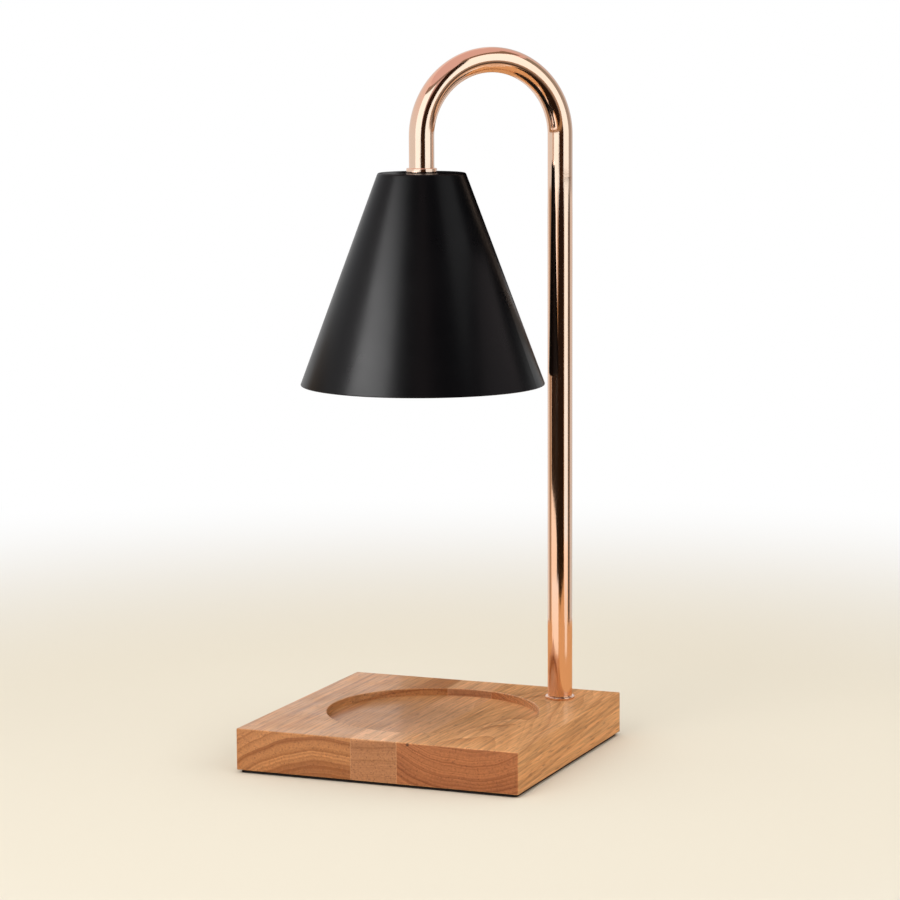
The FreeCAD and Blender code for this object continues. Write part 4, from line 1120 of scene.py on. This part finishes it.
@dataclass
class Studio:
    """A pale floor in a white room, the lamps, the panels that mirrors show, and the camera.

    Lengths are in mm. The lamps' and the panels' angles are counted from the camera's side of the room.
    """

    azimuth: float = 22.0167
    elevation: float = 7.6307
    roll: float = -0.2452
    distance: float = 1621.81
    aim_right: float = 9.306
    aim_height: float = 156.122
    lens: float = 128.606
    pole: tuple[float, float] = (50.5, 50.5)                    # x and y of its axis
    shade: tuple[float, float, float] = (-3.2, -3.2, 243.0)     # where its own lamps are aimed
    floor_side: float = 9000.0
    floor_clear: float = 260.0          # the floor starts to fade into the white round it here
    floor_gone: float = 900.0
    floor_paint: str = "#dfd6c4"
    mirrored_floor: str = "#cfa679"     # as warm as a wooden room would tint it
    mirrored_tint: str = "#ffdcda"      # of the room
    ambient: float = 0.55               # how bright the room is as a light, and as mirrors show it
    mirrored_wall: float = 0.34
    mirrored_ceiling: float = 0.76
    wall_end: float = 0.3               # sines of the elevations where the wall ends and the ceiling starts
    ceiling_start: float = 0.65
    lamps: tuple[Softbox, ...] = (
        Softbox(Role.KEY, azimuth=-40, elevation=34, distance=1.4, width=0.8, height=1.0, watts=6.0),
        Softbox(Role.FILL, azimuth=70, elevation=25, distance=1.4, width=0.8, height=1.0, watts=2.9),
        Softbox(Role.TOP, azimuth=0, elevation=89, distance=1.5, width=1.0, height=1.0, watts=14.2),
        Softbox(
            Role.SHEEN, azimuth=-54, elevation=20, distance=0.6, width=0.42, height=0.25, watts=4.1,
            only=(CONE,),
        ),
        Softbox(
            Role.RIM, azimuth=66, elevation=26, distance=0.6, width=0.4, height=0.4, watts=0.55,
            only=(CONE,),
        ),
    )
    # The near panels are for the pole. The far ones stand higher, for the bend, the short leg and the pole's
    # upper end. The shelves hide the near panels from the bend, and the pole sees them edge-on. Most of the
    # far ones glow for the metal alone. The under shelf is the shelves' lower face, as the shade mirrors it.
    # Each entry gives a panel's arc, heights, glow and wash, and its radius if it isn't a usual near one.
    panels: tuple[Panel, ...] = (
        Panel("studio_left_rear_cloth", (-165, -118), (0, 340), (0.85, 0.85)),
        Panel("studio_left_card", (-121, -90), (0, NEAR_TOP), (0.42, 0.42), Wash.SAND, 342),
        Panel("studio_left_cloth", (-88, -27), (0, NEAR_TOP), (1.05, 1.4), Wash.CREAM_TO_WHITE),
        Panel("studio_left_skirt", (-78, -16), (0, 45), (1.1, 1.1), Wash.CREAM_TO_WHITE, 236),
        Panel("studio_left_flag", (-86, -40), (66, 255), (0.02, 0.02), Wash.AMBER_TO_CORAL, 338, tilt=20),
        Panel("studio_left_low_flag", (-40, -12), (25, 171), (0.02, 0.02), Wash.AMBER_TO_WHITE, 338, tilt=38),
        Panel(
            "studio_front_card", (-14, 34), (10, NEAR_TOP), (0.02, 0.02), Wash.AMBER_TO_CORAL,
            slant=-18, rise=18,
        ),
        Panel("studio_right_cloth", (38, 74), (50, NEAR_TOP), (1.3, 1.5), Wash.SKY),
        Panel("studio_right_low_cloth", (38, 74), (0, 52), (1.05, 1.2), Wash.CREAM_TO_IVORY, 342),
        Panel("studio_right_skirt", (44, 68), (0, 45), (1.0, 1.0), Wash.CREAM_TO_WHITE, 236),
        Panel("studio_right_card", (78, 100), (0, NEAR_TOP), (0.1, 0.12)),
        Panel(
            "studio_right_rear_cloth", (104, 165), (0, NEAR_TOP), (0.7, 0.74), Wash.FROST_TO_WHITE,
            only=(*METAL, CONE),
        ),
        Panel(
            "studio_far_left_rear_cloth", (-166, -56), (FAR_FOOT, 2100), (0.9, 0.9), Wash.HAZE_TO_ROSE,
            FAR + 2,
        ),
        Panel(
            "studio_far_rear_cloth", (-185, -166), (FAR_FOOT, 2100), (0.9, 0.9), Wash.HAZE_TO_ROSE,
            FAR + 2, only=METAL,
        ),
        Panel("studio_far_left_cloth", (-58, -9), (FAR_FOOT, 1490), (1.6, 1.6), Wash.SKY, FAR, only=METAL),
        Panel(
            "studio_far_left_header", (-66, 12), (1490, 1890), (0.26, 0.34), Wash.SHELL_TO_ROSE,
            FAR - 2, only=METAL,
        ),
        Panel(
            "studio_far_front_flag", (19, 30), (FAR_FOOT, 2100), (0.03, 0.03), Wash.COPPER,
            FAR - 10, slant=-28, only=METAL,
        ),
        Panel(
            "studio_far_right_cloth", (30, 84), (FAR_FOOT, 2050), (1.5, 1.5), Wash.SKY_TO_FROST,
            FAR, only=METAL,
        ),
        Panel(
            "studio_far_right_header", (18, 114), (2050, 3200), (0.24, 0.3), Wash.PEACH,
            FAR - 2, only=METAL,
        ),
        Panel(
            "studio_far_low_flag", (-2, 19), (225, 275), (0.03, 0.03), Wash.COPPER,
            FAR - 12, slant=-19, only=METAL,
        ),
        Panel(
            "studio_far_right_card", (84, 124), (FAR_FOOT, 1800), (0.42, 0.27), Wash.WHITE_TO_BUTTER,
            FAR + 4, only=METAL,
        ),
        Panel(
            "studio_bend_shelf", (20, 125), (288.25, 277.0), (0.03, 0.4), Wash.GOLD_TO_WHITE,
            98, reach=232, only=METAL,
        ),
        Panel(
            "studio_bend_inner_shelf", (20, 125), (290.2, 288.25), (0.7, 0.66), Wash.APRICOT,
            58, reach=40, only=METAL,
        ),
        Panel(
            "studio_under_shelf", (35, 100), (290.0, 276.8), (0.8, 0.8), Wash.PEARL,
            58, reach=272, only=(CONE,),
        ),
        Panel(
            "studio_far_right_rear_cloth", (124, 176), (FAR_FOOT, 1900), (0.7, 0.7), Wash.FROST_TO_BLUSH,
            FAR + 2, only=METAL,
        ),
    )

    def build(self) -> None:
        """Set up everything that isn't the lamp."""
        self.place_camera()
        self.light_room()
        self.lay_floor()
        for box in self.lamps:
            box.build(Vector(self.shade if box.only else (0, 0, self.aim_height)) * MM, self.azimuth)
        for panel in self.panels:
            panel.build(Vector((*self.pole, 0)) * MM, self.azimuth)

    def place_camera(self) -> None:
        """Put the camera on its orbit, aimed a little beside the lamp's middle."""
        data = bpy.data.cameras.new("camera")
        data.lens, data.sensor_width = self.lens, 36.0
        data.clip_start, data.clip_end = 0.05, 50.0
        camera = add_object("camera", data)
        back = compass(self.azimuth, self.elevation)
        level = compass(self.azimuth + 90, 0)
        turned = Matrix.Rotation(math.radians(self.roll), 3, back)
        right, up = turned @ level, turned @ back.cross(level)
        target = level * self.aim_right * MM + Vector((0, 0, self.aim_height * MM))
        axes = Matrix((right, up, back)).transposed().to_4x4()
        camera.matrix_world = Matrix.Translation(target + back * self.distance * MM) @ axes
        bpy.context.scene.camera = camera

    def light_room(self) -> None:
        """A white room for the eye, an even one for what it lights, and a dimmer one for what mirrors it."""
        world = bpy.data.worlds.new("studio_room")
        bpy.context.scene.world = world
        world.use_nodes = True
        world.cycles.sampling_method = "NONE"   # the room is even, and each kind of ray meets its own level
        tree = world.node_tree
        tree.nodes.clear()
        way = add_node(tree, "TexCoord").outputs["Generated"]
        height = add_node(tree, "SeparateXYZ", {0: way}).outputs["Z"]
        span = {"Value": height, "From Min": self.wall_end, "From Max": self.ceiling_start}
        span |= {"To Min": self.mirrored_wall, "To Max": self.mirrored_ceiling}
        mirrored = add_node(tree, "MapRange", span, interpolation_type="SMOOTHSTEP")
        ray = add_node(tree, "LightPath").outputs
        ways = {0: ray["Is Camera Ray"], 1: ray["Is Transmission Ray"]}
        seen = add_node(tree, "Math", ways, operation="MAXIMUM")
        level = add_node(tree, "Mix", {0: ray["Is Glossy Ray"], 2: self.ambient, 3: mirrored})
        strength = add_node(tree, "Mix", {0: seen, 2: level, 3: 1.0})
        tints = {0: ray["Is Glossy Ray"], 6: linear("#ffffff"), 7: linear(self.mirrored_tint)}
        tint = add_node(tree, "Mix", tints, data_type="RGBA")
        background = add_node(tree, "Background", {"Color": tint.outputs[2], "Strength": strength})
        add_node(tree, "OutputWorld", {"Surface": background})

    def lay_floor(self) -> None:
        """A pale matt floor that fades into the white room, away from the lamp."""
        half = self.floor_side / 2 * MM
        corners = ((-half, -half), (half, -half), (half, half), (-half, half))
        bm = bmesh.new()
        bm.faces.new([bm.verts.new((x, y, 0)) for x, y in corners])
        mesh = to_mesh(bm, "studio_floor")
        add_object("studio_floor", mesh)
        paint = blank_material("studio_floor_paint")
        tree = paint.node_tree
        place = add_node(tree, "TexCoord").outputs["Object"]
        away = add_node(tree, "VectorMath", {0: place}, operation="LENGTH").outputs["Value"]
        span = {"Value": away, "From Min": self.floor_clear * MM, "From Max": self.floor_gone * MM}
        fade = add_node(tree, "MapRange", span, interpolation_type="SMOOTHSTEP")
        ray = add_node(tree, "LightPath").outputs
        shown = add_node(tree, "Math", {0: fade, 1: ray["Is Camera Ray"]}, operation="MULTIPLY")
        tones = {0: ray["Is Glossy Ray"], 6: linear(self.floor_paint), 7: linear(self.mirrored_floor)}
        tone = add_node(tree, "Mix", tones, data_type="RGBA")
        matt = add_node(tree, "BsdfDiffuse", {"Color": tone.outputs[2]})
        white = add_node(tree, "Emission", {"Color": linear("#ffffff"), "Strength": 1.0})
        faded = add_node(tree, "MixShader", {0: shown, 1: matt, 2: white})
        add_node(tree, "OutputMaterial", {"Surface": faded})
        mesh.materials.append(paint)


def main() -> None:
    """Build the lamp and the studio, and report each piece."""
    logging.basicConfig(level=logging.INFO, format="%(name)s: %(message)s")
    bpy.context.scene.view_settings.view_transform = "Standard"
    for assembly in (GluedBase(), Gooseneck(), ConeShade(), LampHolder(), ReflectorBulb(), Wiring()):
        assembly.build()
        for piece in assembly.finished:
            log.info("%s: %s", type(assembly).__name__, piece)
    Studio().build()


if __name__ == "__main__":
    main()
